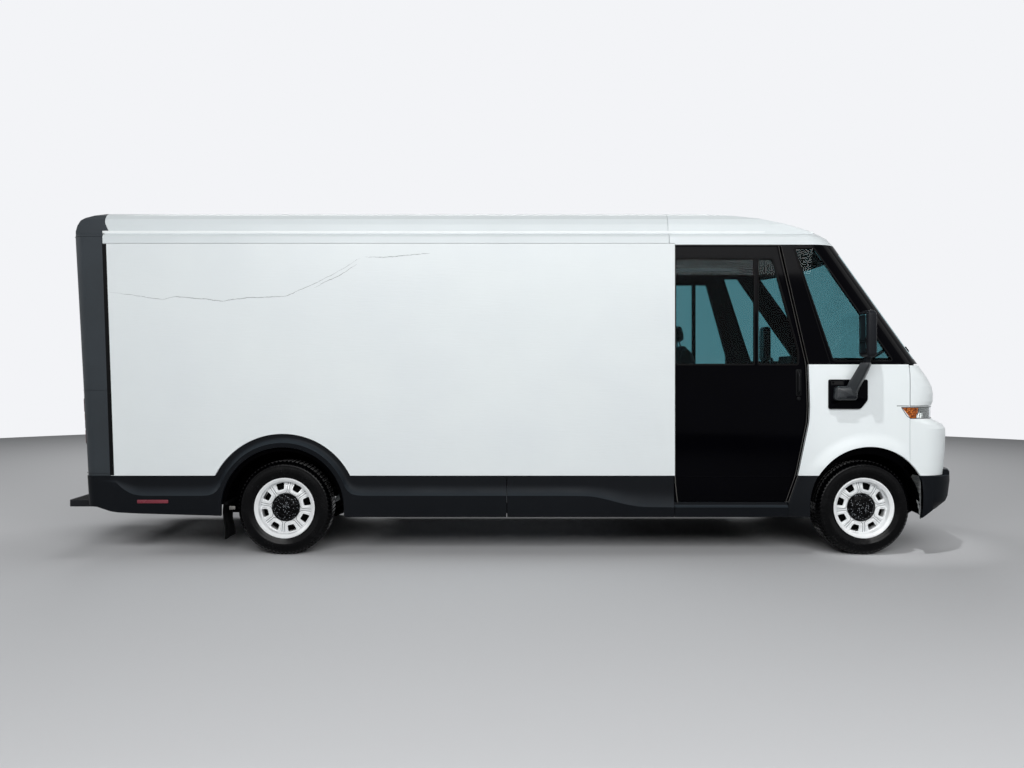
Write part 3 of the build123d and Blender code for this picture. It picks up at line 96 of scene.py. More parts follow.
def calc(tree, operation, *values):
    # a maths node on numbers and sockets, in the order in which they are given
    node = add(tree, "Math", {"operation": operation})
    for i, value in enumerate(values):
        if isinstance(value, float):
            node.inputs[i].default_value = value
        else:
            tree.links.new(value, node.inputs[i])
    return node.outputs[0]


def mapped(tree, value, low, high, first, last):
    # a value carried from the range low..high to first..last
    settings = {"From Min": low, "From Max": high, "To Min": first, "To Max": last}
    return add(tree, "MapRange", settings, {"Value": value}).outputs[0]


def bumped(tree, height, strength, distance, under=None):
    # bump from a height, distance in metres, laid over another bump where one is given
    links = {"Height": height} if under is None else {"Height": height, "Normal": under}
    return add(tree, "Bump", {"Strength": strength, "Distance": distance}, links).outputs[0]


def ramp(tree, fac, stops):
    # a colour ramp: its stops are pairs of a place and a hex colour
    node = add(tree, "ValToRGB", links={"Fac": fac})
    elements = node.color_ramp.elements
    while len(elements) < len(stops):
        elements.new(0.5)
    for element, (position, colour) in zip(elements, stops):
        element.position = position
        element.color = linear(colour)
    return node.outputs["Color"]


materials = {}
specular, coatWeight, coatRough = "Specular IOR Level", "Coat Weight", "Coat Roughness"


def startMaterial(name, settings):
    # a new material with its shader's plain values; returns its tree, its shader and Object coordinates
    material = bpy.data.materials.new(name)
    material.use_nodes = True
    tree = material.node_tree
    tree.nodes.clear()
    shader = add(tree, "BsdfPrincipled", settings)
    add(tree, "OutputMaterial", links={"Surface": shader.outputs[0]})
    materials[name] = material
    return tree, shader, add(tree, "TexCoord").outputs["Object"]


def grainy(name, colours, rough, grain, height, extra=None):
    # moulded or coated stuff: cloudy colour between two near shades, fine grain as bump, uneven roughness
    # grain is the grain's width and height its relief, in millimetres
    tree, shader, place = startMaterial(name, {"Roughness": sum(rough) / 2, "IOR": 1.5, **(extra or {})})
    feed(shader, "Base Color", ramp(tree, noise(tree, place, 1.7, 3.0), [(0.3, colours[0]), (0.7, colours[1])]))
    feed(shader, "Roughness", mapped(tree, noise(tree, place, 4.3, 4.0), 0.3, 0.7, *rough))
    relief = bumped(tree, noise(tree, place, 1000.0 / grain, 2.0), 0.6, height / 1000.0)
    feed(shader, "Normal", relief)
    return tree, shader, place, relief


def glassy(name, colour):
    # sheet glass: clear with a body tint, a few faint smears in its roughness
    tree, shader, place = startMaterial(name, {
        "Base Color": linear(colour), "Transmission Weight": 1.0, "IOR": 1.15, specular: 0.3})
    smears = noise(tree, place, 2.2, 5.0, Distortion=1.2)
    feed(shader, "Roughness", mapped(tree, smears, 0.45, 0.8, 0.0, 0.012))


# white two-coat van paint over steel and aluminium sheet: even and satin bright, slight orange peel; lengths in metres
paint = {"colours": ("#E4EAEB", "#E1E7E9"), "rough": (0.34, 0.38), "waveLength": 0.6, "waveHeight": 0.0128,
         "brushPitch": 0.012, "brushHeight": 0.00088}


def makePanelPaint(name, wavy, colours=paint["colours"]):
    # the same paint on a big flat sheet: long oil-can waves and faint level ripples, both only as bump
    tree, shader, place, peel = grainy(
        name, colours, paint["rough"], 2.5, 0.012, {specular: 0.3, coatWeight: 0.08, coatRough: 0.12})
    if wavy:
        low = bumped(tree, noise(tree, place, 1.0 / paint["waveLength"], 1.5), 0.7, paint["waveHeight"], peel)
        flat = add(tree, "Mapping", {"Scale": (0.12, 1.0, 1.0)}, {"Vector": place}).outputs[0]
        brush = noise(tree, flat, 1.0 / paint["brushPitch"], 2.0)
        feed(shader, "Normal", bumped(tree, brush, 0.8, paint["brushHeight"], low))
    return tree, shader, place


# inside is the colour of the inside faces, a near black that paints the shade in the cab over a dark lining; middle a
# point in the cab, in metres
cabRoof = {"colours": ("#E0E7E9", "#DCE3E5"), "inside": "#0B0D0F", "middle": (1.9, 0.0, 2.0)}


def makeCabRoof():
    # gel coat outside and, inside, a dark lining painted near black as painted shade of the cab: a face is inside where
    # its normal points back to the middle
    tree, shader, place = makePanelPaint("cabRoofGelCoat", False, cabRoof["colours"])
    away = add(tree, "VectorMath", {"operation": "SUBTRACT", 1: cabRoof["middle"]}, {0: place}).outputs[0]
    facing = add(tree, "VectorMath", {"operation": "DOT_PRODUCT"},
                 {0: away, 1: add(tree, "NewGeometry").outputs["Normal"]}).outputs["Value"]
    inside = calc(tree, "LESS_THAN", facing, 0.0)
    feed(shader, "Base Color", ramp(tree, inside, [(0.0, cabRoof["colours"][0]), (1.0, cabRoof["inside"])]))


makeCabRoof()
makePanelPaint("whitePaint", False)
makePanelPaint("whiteSheetPaint", True)
# the roof's gel-coated moulding is painted a shade greyer than the doors and sides, painted shade on its up-facing
# band, and its drip rail a shade whiter, a painted highlight
makePanelPaint("roofGelCoat", False, ("#DCE3E5", "#D8DFE1"))
makePanelPaint("railPaint", False, ("#F6FAFB", "#F2F6F7"))

# each row: name, two near colours, roughness, the grain's width and height in millimetres, the shader's other values
for name, colours, rough, grain, height, extra in (
        # the tail surround is the cladding's plastic in a lighter, drier grade
        ("tailPlastic", ("#2D3236", "#343A3F"), (0.42, 0.55), 1.2, 0.05, {specular: 0.2}),
        # black gloss enamel on the doors and window surrounds: near black with a weak mirror
        ("glossBlackPaint", ("#020204", "#030306"), (0.04, 0.07), 3.0, 0.003, {specular: 0.03}),
        # bonded rubber and seals, a dead black line round the openings
        ("sealRubber", ("#060607", "#0A0A0B"), (0.5, 0.65), 1.5, 0.03, {specular: 0.08}),
        # chassis paint: thin black dip coat, uneven and dusty
        ("chassisPaint", ("#060708", "#0B0C0D"), (0.5, 0.7), 1.5, 0.05, {specular: 0.08}),
        # glass-fibre lining board, pale with a dull pebble finish
        ("liningBoard", ("#A9ADB0", "#B3B6B8"), (0.5, 0.62), 2.5, 0.03, {}),
        ("stepPaint", ("#17191C", "#1E2023"), (0.45, 0.6), 2.0, 0.08, {specular: 0.12}),
        ("flapRubber", ("#060607", "#090A0B"), (0.6, 0.75), 1.5, 0.06, {specular: 0.06}),
        # die-cast aluminium: grey, softly mottled
        ("castAluminium", ("#8C8F93", "#9A9DA1"), (0.4, 0.55), 1.8, 0.05, {"Metallic": 1.0}),
        ("zincPlate", ("#75736F", "#84827E"), (0.3, 0.45), 1.2, 0.02, {"Metallic": 1.0}),
        ("floorPlate", ("#6E7174", "#7A7D80"), (0.35, 0.5), 2.0, 0.05, {"Metallic": 0.8}),
        ("floorRubber", ("#16171A", "#1C1D20"), (0.55, 0.7), 3.0, 0.1, {specular: 0.3}),
        # needled felt wheel liners: very dull and fuzzy
        ("linerFelt", ("#030304", "#050506"), (0.85, 0.95), 1.5, 0.12, {specular: 0.0}),
        # brake drums near black: painted shade of the inside of the wheels
        ("brakeIron", ("#030303", "#070707"), (0.5, 0.65), 2.0, 0.1, {specular: 0.03}),
        ("castIron", ("#232426", "#2E2F31"), (0.5, 0.65), 2.0, 0.1, {"Metallic": 0.6}),
        ("dashPlastic", ("#131518", "#191B1E"), (0.5, 0.6), 1.0, 0.05, {specular: 0.12}),
        ("mirrorShell", ("#15171A", "#1A1C20"), (0.3, 0.4), 1.0, 0.03, {specular: 0.08}),
        ("mirrorArm", ("#1C1F22", "#25292C"), (0.25, 0.34), 1.0, 0.03, {specular: 0.4}),
        ("seatWelt", ("#0E1012", "#14171A"), (0.55, 0.7), 1.2, 0.05, {specular: 0.2}),
        ("seamSealer", ("#B4BBBE", "#BDC3C6"), (0.5, 0.6), 1.5, 0.03, {}),
        # grey for lines of painted shade in the rims' folds and by their flanges
        ("roadGrime", ("#7D8083", "#929598"), (0.6, 0.75), 1.5, 0.02, {specular: 0.1}),
        ("handlePlastic", ("#08090B", "#0D0E10"), (0.3, 0.45), 1.0, 0.03, {specular: 0.1}),
        ("rimPaint", ("#F1F3F4", "#EBEEEF"), (0.24, 0.34), 2.0, 0.02, {coatWeight: 0.3, coatRough: 0.1}),
        ("lampRed", ("#6A1118", "#7A161C"), (0.08, 0.14), 4.0, 0.02, {coatWeight: 1.0, coatRough: 0.03}),
        ("markerRed", ("#6E2632", "#7C2E3A"), (0.2, 0.3), 2.0, 0.05, {}),
        ("lampReflector", ("#7C7D7A", "#8F908C"), (0.12, 0.2), 3.0, 0.05, {"Metallic": 1.0}),
        ("mirrorSilver", ("#DDE1E3", "#E3E6E8"), (0.02, 0.04), 5.0, 0.002, {"Metallic": 1.0}),
        ("weatherStrip", ("#4E4D4B", "#595855"), (0.4, 0.5), 1.0, 0.03, {specular: 0.2}),
        ("scuffGrey", ("#6E7578", "#8A9093"), (0.5, 0.6), 1.0, 0.05, {})):
    grainy(name, colours, rough, grain, height, extra)
glassy("tintedGlass", "#88AEB3")
glassy("lampGlass", "#F2F5F7")


def makeCladdingPlastic():
    # textured polypropylene: dark blue-grey, dull, with a fine leathery grain; what faces up is painted lighter,
    # painted light as from above
    tree, shader, place, relief = grainy(
        "mouldedCladding", ("#0C0F13", "#101317"), (0.42, 0.52), 1.2, 0.05, {specular: 0.09})
    facing = add(tree, "SeparateXYZ", links={0: add(tree, "NewGeometry").outputs["Normal"]})
    # painted light: the colour lightens as the face's normal points further up, with a little noise
    level = calc(tree, "MULTIPLY_ADD", noise(tree, place, 5.0, 5.0), 0.12, facing.outputs["Z"])
    feed(shader, "Base Color", ramp(tree, level, [(0.1, "#0B0E12"), (0.35, "#151A1F"), (0.75, "#2C3237")]))


def makeAmberLens():
    # moulded acrylic indicator lens: deep amber, with pillow optics 14 mm across, each painted bright in its middle and
    # brown at its edge as a painted glint
    tree, shader, place, relief = grainy(
        "lampAmber", ("#8E3E0C", "#B85A16"), (0.12, 0.2), 3.0, 0.05, {specular: 0.2, coatWeight: 0.2})
    pillow = add(tree, "TexVoronoi", {"Scale": 1.0 / 0.014, "Randomness": 0.6}, {"Vector": place}).outputs["Distance"]
    feed(shader, "Base Color", ramp(tree, pillow, [(0.05, "#E8943A"), (0.35, "#A9540F"), (0.75, "#4E2206")]))


def makeHubPlastic():
    # hub cap of glass-filled nylon: black, dull, with coarse grit 9 mm apart, where some grains are painted light grey
    # as painted glints
    tree, shader, place, relief = grainy(
        "hubPlastic", ("#050506", "#08090A"), (0.2, 0.35), 1.5, 0.1, {specular: 0.06})
    grit = add(tree, "TexVoronoi", {"Scale": 1.0 / 0.009}, {"Vector": place})
    glintSpeck = calc(tree, "MULTIPLY", calc(tree, "LESS_THAN", grit.outputs["Distance"], 0.34),
                 calc(tree, "GREATER_THAN", grit.outputs["Color"], 0.66))
    feed(shader, "Base Color", ramp(tree, glintSpeck, [(0.0, "#040405"), (1.0, "#8A8E93")]))
    feed(shader, "Normal", bumped(tree, grit.outputs["Distance"], 0.8, 0.002, relief))


def makeTyreRubber():
    # carbon-black tyre rubber: nearly black, glossy where wiped, dusty in patches
    tree, shader, place, relief = grainy(
        "tyreRubber", ("#030304", "#050506"), (0.3, 0.6), 1.5, 0.06, {specular: 0.13})
    patch = noise(tree, place, 9.0, 6.0, Roughness=0.7)
    feed(shader, "Base Color", ramp(tree, patch, [(0.5, "#020203"), (0.75, "#040405"), (0.95, "#151719")]))
    feed(shader, "Roughness", mapped(tree, patch, 0.4, 0.6, 0.14, 0.3))


def makeWovenCloth():
    # flat-woven polyester seat cloth: threads 1.2 mm apart, drawn at 3 mm so that the weave can be seen
    tree, shader, place = startMaterial("seatCloth", {"Roughness": 0.85, "Sheen Weight": 0.25, "IOR": 1.45})
    across, down = (add(tree, "TexWave", {"Scale": 1.0 / 0.003 / 6.2832, "bands_direction": direction},
                        {"Vector": place}).outputs["Fac"] for direction in ("Y", "Z"))
    weave = calc(tree, "MULTIPLY", across, down)
    mixed = calc(tree, "ADD", weave, noise(tree, place, 6.0, 4.0))
    feed(shader, "Base Color", ramp(tree, mixed, [(0.35, "#15181B"), (1.0, "#2B3034")]))
    feed(shader, "Normal", bumped(tree, weave, 0.5, 0.0006))


def makeLinerMesh():
    # pressed grey wheel-house liner: a small dotted pattern, 14 mm apart, over dull grey plastic
    tree, shader, place = startMaterial("linerMesh", {"Roughness": 0.7, "IOR": 1.5, specular: 0.3})
    dots = add(tree, "TexVoronoi", {"Scale": 1.0 / 0.014, "Randomness": 0.15}, {"Vector": place}).outputs["Distance"]
    feed(shader, "Base Color", ramp(tree, dots, [(0.2, "#4C4F50"), (0.45, "#7C7F80"), (0.7, "#909392")]))
    feed(shader, "Normal", bumped(tree, dots, 0.6, 0.002))


makeCladdingPlastic()
makeAmberLens()
makeHubPlastic()
makeTyreRubber()
makeWovenCloth()
makeLinerMesh()
print("materials made:", len(materials))

finishOfSlot = {
    "white_paint": "whitePaint", "black_cladding": "mouldedCladding", "gloss_black": "glossBlackPaint",
    "screen_glass": "tintedGlass", "lamp_glass": "lampGlass", "frame_steel": "chassisPaint",
    "rail_aluminium": "castAluminium", "lining_panel": "liningBoard", "tail_black": "tailPlastic",
    "lamp_red": "lampRed", "step_black": "stepPaint", "flap_rubber": "flapRubber", "battery_case": "castAluminium",
    "floor_panel": "floorPlate", "floor_mat": "floorRubber", "liner_plastic": "linerFelt", "axle_iron": "castIron",
    "dash_plastic": "dashPlastic", "seat_cloth": "seatCloth", "mirror_housing": "mirrorShell",
    "mirror_glass": "mirrorSilver", "rim_white": "rimPaint", "tyre": "tyreRubber",
}
finishOfNode = {"side_panels": "whiteSheetPaint", "cargo_roof": "roofGelCoat", "cab_roof": "cabRoofGelCoat"}
for part in frame["record"]["subparts"]:
    mesh = frame["nodes"][part["node"]].data
    mesh.materials.clear()
    mesh.materials.append(materials[finishOfNode.get(part["node"], finishOfSlot[part["material_slot"]])])


# ---------- surface helpers

def gridFaces(rows, columns, closedRows, closedColumns, start):
    # four-sided faces of a grid of points numbered row by row, wrapped round where a direction is closed
    i, j = np.meshgrid(np.arange(rows if closedRows else rows - 1),
                       np.arange(columns if closedColumns else columns - 1), indexing="ij")
    over, beside = (i + 1) % rows, (j + 1) % columns
    corners = [i * columns + j, over * columns + j, over * columns + beside, i * columns + beside]
    return (np.stack(corners, -1).reshape(-1, 4) + start).tolist()


def meshFrom(name, grids):
    # one mesh from grids of points: each is (points, closed rows, closed columns, ends capped);
    # the doubles are merged and the normals turned outwards
    places, faces, start = [], [], 0
    for points, closedRows, closedColumns, capped in grids:
        rows, columns = points.shape[:2]
        places.append(points.reshape(-1, 3))
        faces += gridFaces(rows, columns, closedRows, closedColumns, start)
        if capped:
            faces.append(list(range(start, start + columns)))
            faces.append(list(range(start + (rows - 1) * columns, start + rows * columns)))
        start += rows * columns
    mesh = bpy.data.meshes.new(name)
    mesh.from_pydata(np.concatenate(places).tolist(), [], faces)
    work = bmesh.new()
    work.from_mesh(mesh)
    bmesh.ops.remove_doubles(work, verts=work.verts, dist=1e-6)
    bmesh.ops.recalc_face_normals(work, faces=work.faces)
    work.to_mesh(mesh)
    work.free()
    return mesh


def placed(name, data):
    # a new object in the scene
    thing = bpy.data.objects.new(name, data)
    bpy.context.scene.collection.objects.link(thing)
    return thing


def makePiece(name, grids, finish, body="van_body", sharp=35.0, replaced=()):
    # one piece of the visual model on its body: edges over sharp degrees are shaded as corners
    mesh = meshFrom(name, grids)
    mesh.shade_smooth()
    mesh.set_sharp_from_angle(angle=math.radians(sharp))
    mesh.materials.append(materials[finish])
    piece = placed(name, mesh)
    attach(piece, body)
    if replaced:
        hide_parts(*replaced)
    return piece


def makePair(name, grids, finish, sharp=35.0, replaced=()):
    # the same shapes on the left and, with y negated, on the right, as one piece of the van's body
    flipped = [(points * np.array([1.0, -1.0, 1.0]), a, b, c) for points, a, b, c in grids]
    return makePiece(name, grids + flipped, finish, "van_body", sharp, replaced)


def resample(points, count):
    # points spread evenly along a line of points: running length, then straight interpolation
    points = np.asarray(points, float)
    run = np.concatenate([[0.0], np.cumsum(np.linalg.norm(np.diff(points, axis=0), axis=1))])
    at = np.linspace(0.0, run[-1], count)
    return np.stack([np.interp(at, run, points[:, k]) for k in range(points.shape[1])], 1)


def arc(centre, radius, start, end, count=40):
    # points on a circle from one angle to another, in degrees from +x towards +z
    turn = np.radians(np.linspace(start, end, count))
    return np.stack([centre[0] + radius * np.cos(turn), centre[1] + radius * np.sin(turn)], 1)


def roundedOutline(corners, radius, steps=6):
    # a closed outline whose corners are parabolas that leave each side at the given distance from the corner
    corners = np.asarray(corners, float)
    before, after = np.roll(corners, 1, 0), np.roll(corners, -1, 0)
    radii = np.broadcast_to(np.asarray(radius, float), (len(corners),))[:, None]
    start = corners + (before - corners) / np.linalg.norm(before - corners, axis=1)[:, None] * radii
    end = corners + (after - corners) / np.linalg.norm(after - corners, axis=1)[:, None] * radii
    t = np.linspace(0.0, 1.0, steps)[None, :, None]
    curve = (1 - t) ** 2 * start[:, None] + 2 * t * (1 - t) * corners[:, None] + t ** 2 * end[:, None]
    return curve.reshape(-1, corners.shape[1])


def outwards(outline):
    # unit normals of a closed flat outline: the central difference turned a quarter, away from the middle
    step = np.roll(outline, -1, 0) - np.roll(outline, 1, 0)
    normal = np.stack([step[:, 1], -step[:, 0]], 1)
    normal /= np.maximum(np.linalg.norm(normal, axis=1), 1e-9)[:, None]
    middle = outline.mean(0)
    if np.sum(normal * (outline - middle)) < 0:
        normal = -normal
    return normal


def padGrid(outline, low, high, edge, plane="xz"):
    # a slab with a rounded front edge: rows are the outline drawn in by edge * (1 - sin a)
    # while the depth goes from high - edge to high by edge * (1 - cos a)
    normal = outwards(outline)
    turn = np.linspace(0.0, np.pi / 2, 5)
    inset = np.concatenate([[0.0], edge * (1 - np.cos(turn))])
    depth = np.concatenate([[low], high - edge * np.sign(high - low) * (1 - np.sin(turn))])
    flat = outline[None] - normal[None] * inset[:, None, None]
    deep = np.broadcast_to(depth[:, None], flat.shape[:2])
    order = {"xz": (flat[..., 0], deep, flat[..., 1]), "yz": (deep, flat[..., 0], flat[..., 1]),
             "xy": (flat[..., 0], flat[..., 1], deep)}[plane]
    return (np.stack(order, -1), False, True, True)


def sweep(path, section, up, closed=False):
    # a closed section carried along a path: each point's frame is its tangent, the given up direction
    # made square to it, and their cross product
    path, up = np.asarray(path, float), np.asarray(up, float)
    tangent = np.roll(path, -1, 0) - np.roll(path, 1, 0) if closed else np.gradient(path, axis=0)
    tangent /= np.maximum(np.linalg.norm(tangent, axis=1), 1e-9)[:, None]
    lift = up - tangent * np.sum(tangent * up, axis=-1, keepdims=True)
    lift /= np.maximum(np.linalg.norm(lift, axis=-1), 1e-9)[:, None]
    across = np.cross(tangent, lift)
    points = path[:, None] + section[None, :, :1] * across[:, None] + section[None, :, 1:] * lift[:, None]
    return (points, closed, True, not closed)


def bead(path, width, height, up=(0, 1, 0), closed=False, sides=8):
    # an oval section, width across and height along up, carried along a path
    turn = around(sides)
    section = np.stack([np.cos(turn) * width / 2, np.sin(turn) * height / 2], 1)
    return sweep(path, section, up, closed)


def around(count):
    # angles spread evenly round a circle
    return np.linspace(0.0, 2 * np.pi, count, endpoint=False)


def turned(profile, centre, count):
    # a (radius, y) profile spun about a cross axis: x = radius cos, z = radius sin
    turn = around(count)
    radius, deep = profile[:, 0], profile[:, 1]
    return np.stack([
        centre[0] + np.cos(turn)[:, None] * radius[None], np.broadcast_to(deep, (count, len(deep))),
        centre[1] + np.sin(turn)[:, None] * radius[None]], -1)


def rectangle(low, high, bottom, top):
    # the four corners of an upright rectangle
    return [(low, bottom), (high, bottom), (high, top), (low, top)]


def roundedBox(low, high, bottom, top, radius, steps=6):
    # a rectangle in millimetres with corners rounded by a radius in metres, given back in metres
    return roundedOutline(mm(rectangle(low, high, bottom, top)), radius, steps)


def onSide(flat, y):
    # (x, z) points put on a plane of constant y
    return np.stack([flat[:, 0], np.full(len(flat), y), flat[:, 1]], 1)


def smooth(t):
    # three t squared less two t cubed, held to 0..1
    t = np.clip(t, 0.0, 1.0)
    return t * t * (3 - 2 * t)


def mm(points):
    # millimetres to metres
    return np.asarray(points, float) * 0.001


def along(parts, count):
    # several lines of points, each spread evenly over its own count of points, joined end to end
    lines = [resample(points, n + 1)[:-1] for points, n in zip(parts, count)]
    return np.concatenate(lines + [np.asarray(parts[-1], float)[-1:]])


# ---------- lower cladding, one skin for both sides

# millimetres: how deep the hollow under the panels lies from the body's side plane, how far the crease stands out on
# the straight and round the arch, how far the lower edge falls back, and the radii round the wheels; bend is the
# share of the way down at which the hollow starts to rise, and swell the power it rises by
cladding = {"hollow": -18.0, "crease": 9.0, "archCrease": 14.0, "foot": 2.0, "wall": 26.0, "top": 647.0, "sill": 318.0,
            "archRadius": 490.0, "flareRadius": 600.0, "creaseRadius": 526.0, "cornerRadius": 90.0, "tailGap": 125.0,
            "lean": 23.0 / 363.0, "frontArchRadius": 472.0, "roundTail": 246.0, "bend": 0.42, "swell": 2.3, "turnIn": 5.0,
            "archFoot": 8.0, "archDepth": (-6.0, 14.0, 1.6)}


def claddingSection(top, crease, low, recess, arch, corner):
    # section from the top edge down to the lower edge at each station, depth against running share t:
    # hollow + (crease - hollow) * ((t - bend) / (1 - bend)) ^ swell above it, a straight fall to the foot below it,
    # closed by two points on the wall's inner side; recess fades the hollow out and arch lifts the crease
    t = np.array([0.0, 0.02, 0.06, 0.2, 0.42, 0.52, 0.62, 0.71, 0.79, 0.86, 0.92, 0.97, 1.0])
    u = np.array([0.05, 0.3, 0.6, 0.9, 0.97, 1.0])
    hollow, lift = cladding["hollow"] * recess, cladding["crease"] * recess
    lift = lift + (cladding["archCrease"] - cladding["crease"]) * arch
    rise = np.clip((t - cladding["bend"]) / (1 - cladding["bend"]), 0.0, 1.0) ** cladding["swell"]
    above = hollow[:, None] + (lift - hollow)[:, None] * rise
    above[:, 0] = hollow - cladding["turnIn"]
    fall = (cladding["foot"] * recess + cladding["archFoot"] * arch)[:, None]
    below = lift[:, None] + (fall - lift[:, None]) * u[None]
    below[:, -1] -= cladding["turnIn"]
    flat = np.concatenate([top[:, None] + (crease - top)[:, None] * t[None, :, None],
                           crease[:, None] + (low - crease)[:, None] * u[None, :, None]], 1)
    depth = np.concatenate([above, below], 1)
    inner = np.full((len(top), 1), -cladding["wall"])
    flat = np.concatenate([top[:, None], flat, low[:, None]], 1)
    depth = np.concatenate([inner, depth, inner], 1)
    s, z = flat[..., 0], flat[..., 1]
    if not corner:
        return mm(np.stack([s, sy + depth, z], -1))
    # the rear end goes round the tail's corner: its centre leans with the tail, distance past it becomes
    # an angle over the corner's radius, and past a quarter turn it runs straight across the back
    radius = cladding["cornerRadius"]
    start = tx + cladding["tailGap"] + radius
    shear = -(z - 300.0) * cladding["lean"] * np.clip((start + 400.0 - s) / 400.0, 0.0, 1.0)
    past = np.clip(start - s, 0.0, None)
    turn = np.clip(past / radius, 0.0, np.pi / 2)
    beyond = np.clip(past - radius * np.pi / 2, 0.0, None)
    x = np.where(past > 0, start - (radius + depth) * np.sin(turn), s) + shear
    y = sy - radius + (radius + depth) * np.cos(turn) - beyond
    return mm(np.stack([x, y, z], -1))


def rearCladding():
    # three lines, top edge, crease and lower edge, matched stretch by stretch from the back to the cab door;
    # round the wheel they are circles about nearly one centre
    cx, end = rx, fx - 2877.0
    back = tx + cladding["tailGap"] + cladding["cornerRadius"] - cladding["roundTail"]
    corner = back + cladding["roundTail"]
    at = lambda *points: [(cx + dx, z) for dx, z in points]
    top = [[(back, 647), (corner, 647)], at((-1466, 647), (-1314, 647)), at((-1314, 647), (-1149, 647)),
           at((-1149, 647), (-644, 647)),
           at((-644, 647), (-568, 648.5), (-547, 655), (-533, 665), (-521, 678)),
           arc((cx + 6, 385), cladding["flareRadius"], 150.8, 29.2, 60),
           at((533, 678), (545, 665), (559, 655), (580, 648.5), (646, 647)), [(cx + 646, 647), (end, 647)]]
    crease = [[(back, 610), (corner, 610)], [(corner, 610), (cx - 1314, 597)],
              at((-1314, 597), (-1290, 570), (-1262, 545), (-1225, 522), (-1190, 505), (-1149, 495)),
              at((-1149, 495), (-1120, 491), (-1080, 490), (-644, 490)),
              at((-644, 490), (-589, 494), (-550, 506), (-519, 530), (-496, 562)),
              arc((cx, 385), cladding["creaseRadius"], 160.3, 19.7, 60),
              at((496, 562), (519, 530), (550, 506), (589, 494), (646, 490)), [(cx + 646, 490), (end, 490)]]
    low = [[(back, 415), (corner, 400)], [(corner, 400), (cx - 1370, 364), (cx - 1314, 355)],
           at((-1314, 355), (-1149, 347)), at((-1149, 347), (-766, 336), (-644, 333)), at((-644, 333), (-490, 330)),
           np.concatenate([[(cx - 490, 330)], arc((cx, 385), cladding["archRadius"], 180, 0, 60), [(cx + 490, 330)]]),
           at((490, 330), (500, 321), (646, 318)), [(cx + 646, 318), (end, 318)]]
    count = [22, 8, 12, 14, 16, 84, 16, 40]
    top, crease, low = (along(line, count) for line in (top, crease, low))
    # the hollow starts behind the corner and the lifted crease belongs to the arch alone, stretch by stretch
    stations = np.concatenate([[0], np.cumsum(count)])
    number = np.arange(stations[-1] + 1)
    share = np.interp(number, stations[[1, 2, 3]], [0.0, 0.25, 1.0])
    arch = np.interp(number, stations[[4, 5, 6, 7]], [0.0, 1.0, 1.0, 0.0])
    return claddingSection(top, crease, low, smooth(share), smooth(arch), True)


def middleCladding():
    # under the cargo panel, then under the door: the crease dips to the sill in a long curve
    dip = np.array([(-2871, 490), (-2305, 490), (-2228, 488), (-2145, 477), (-2065, 458), (-1965, 430),
                    (-1865, 410), (-1785, 401), (-1540, 398)], float)
    x = np.concatenate([np.linspace(-2871, -2228, 10), np.linspace(-2228, -1540, 28)[1:]])
    crease = np.stack([x + fx, np.interp(x, dip[:, 0], dip[:, 1])], 1)
    crease[2:-2, 1] = (crease[:-4, 1] + crease[1:-3, 1] + crease[2:-2, 1] + crease[3:-1, 1] + crease[4:, 1]) / 5
    top = np.stack([x + fx, np.full(len(x), cladding["top"])], 1)
    low = np.stack([x + fx, np.full(len(x), cladding["sill"])], 1)
    ones, none = np.ones(len(x)), np.zeros(len(x))
    under = claddingSection(top, crease, low, ones, none, False)
    x = np.linspace(-1534, -632, 20) + fx
    ones, none = np.ones(20), np.zeros(20)
    sill = claddingSection(*(np.stack([x, ones * z], 1) for z in (432, 397, cladding["sill"])), ones, none, False)
    return under, sill


def archCladding():
    # the piece between the door and the front wheel: level lines from the door's leaning edge to the arch,
    # depth base + rise * share ^ power with a rounded lip at the arch
    z = np.concatenate([np.linspace(318, 432, 8), np.linspace(432, 645, 20)[1:]])
    rear = np.interp(z, [318, 432, 647], [-627, -627, -549]) + fx
    reach = cladding["frontArchRadius"] ** 2 - np.clip(z - 409.0, 0, None) ** 2
    front = fx + 15.0 - np.sqrt(reach)
    t = np.concatenate([np.linspace(0, 0.85, 12), [0.9, 0.95, 0.98, 1.0]])
    base, rise, power = cladding["archDepth"]
    depth = base + rise * t ** power
    depth[0], depth[-1] = -10.0, 2.0
    x = rear[:, None] + (front - rear)[:, None] * t[None]
    x = np.concatenate([x[:, :1], x, x[:, -1:]], 1)
    depth = np.concatenate([[-cladding["wall"]], depth, [-cladding["wall"]]])
    y = np.broadcast_to(sy + depth, x.shape)
    return mm(np.stack([x, y, np.broadcast_to(z[:, None], x.shape)], -1))


skins = [(points, False, True, True) for points in (rearCladding(), *middleCladding(), archCladding())]
makePair("claddingSkins", skins, "mouldedCladding", 17.0, ("cladding",))
print("cladding made")

# ---------- tyres

# millimetres, and counts of blocks, ribs and stations round the tyre; half is the section from the bead to the tread
tyre = {"half": [(224, 102), (236, 106.5), (247, 109), (252, 111.5), (256, 112.5), (262, 114.8), (266, 116.6),
                 (285, 120), (288, 121.6), (292, 121.8), (305, 122.5), (325, 121.8), (340, 119), (343, 119.6),
                 (350, 116.5), (358, 111), (364.5, 104), (369, 98), (373, 90), (376.5, 82), (378.4, 74.5)],
        "grooves": (68, 28), "grooveWidth": 9.0, "grooveDepth": 8.0, "blocks": 72, "blockDepth": 7.0,
        "sipeDepth": 5.0, "ribs": 216, "columns": 432}


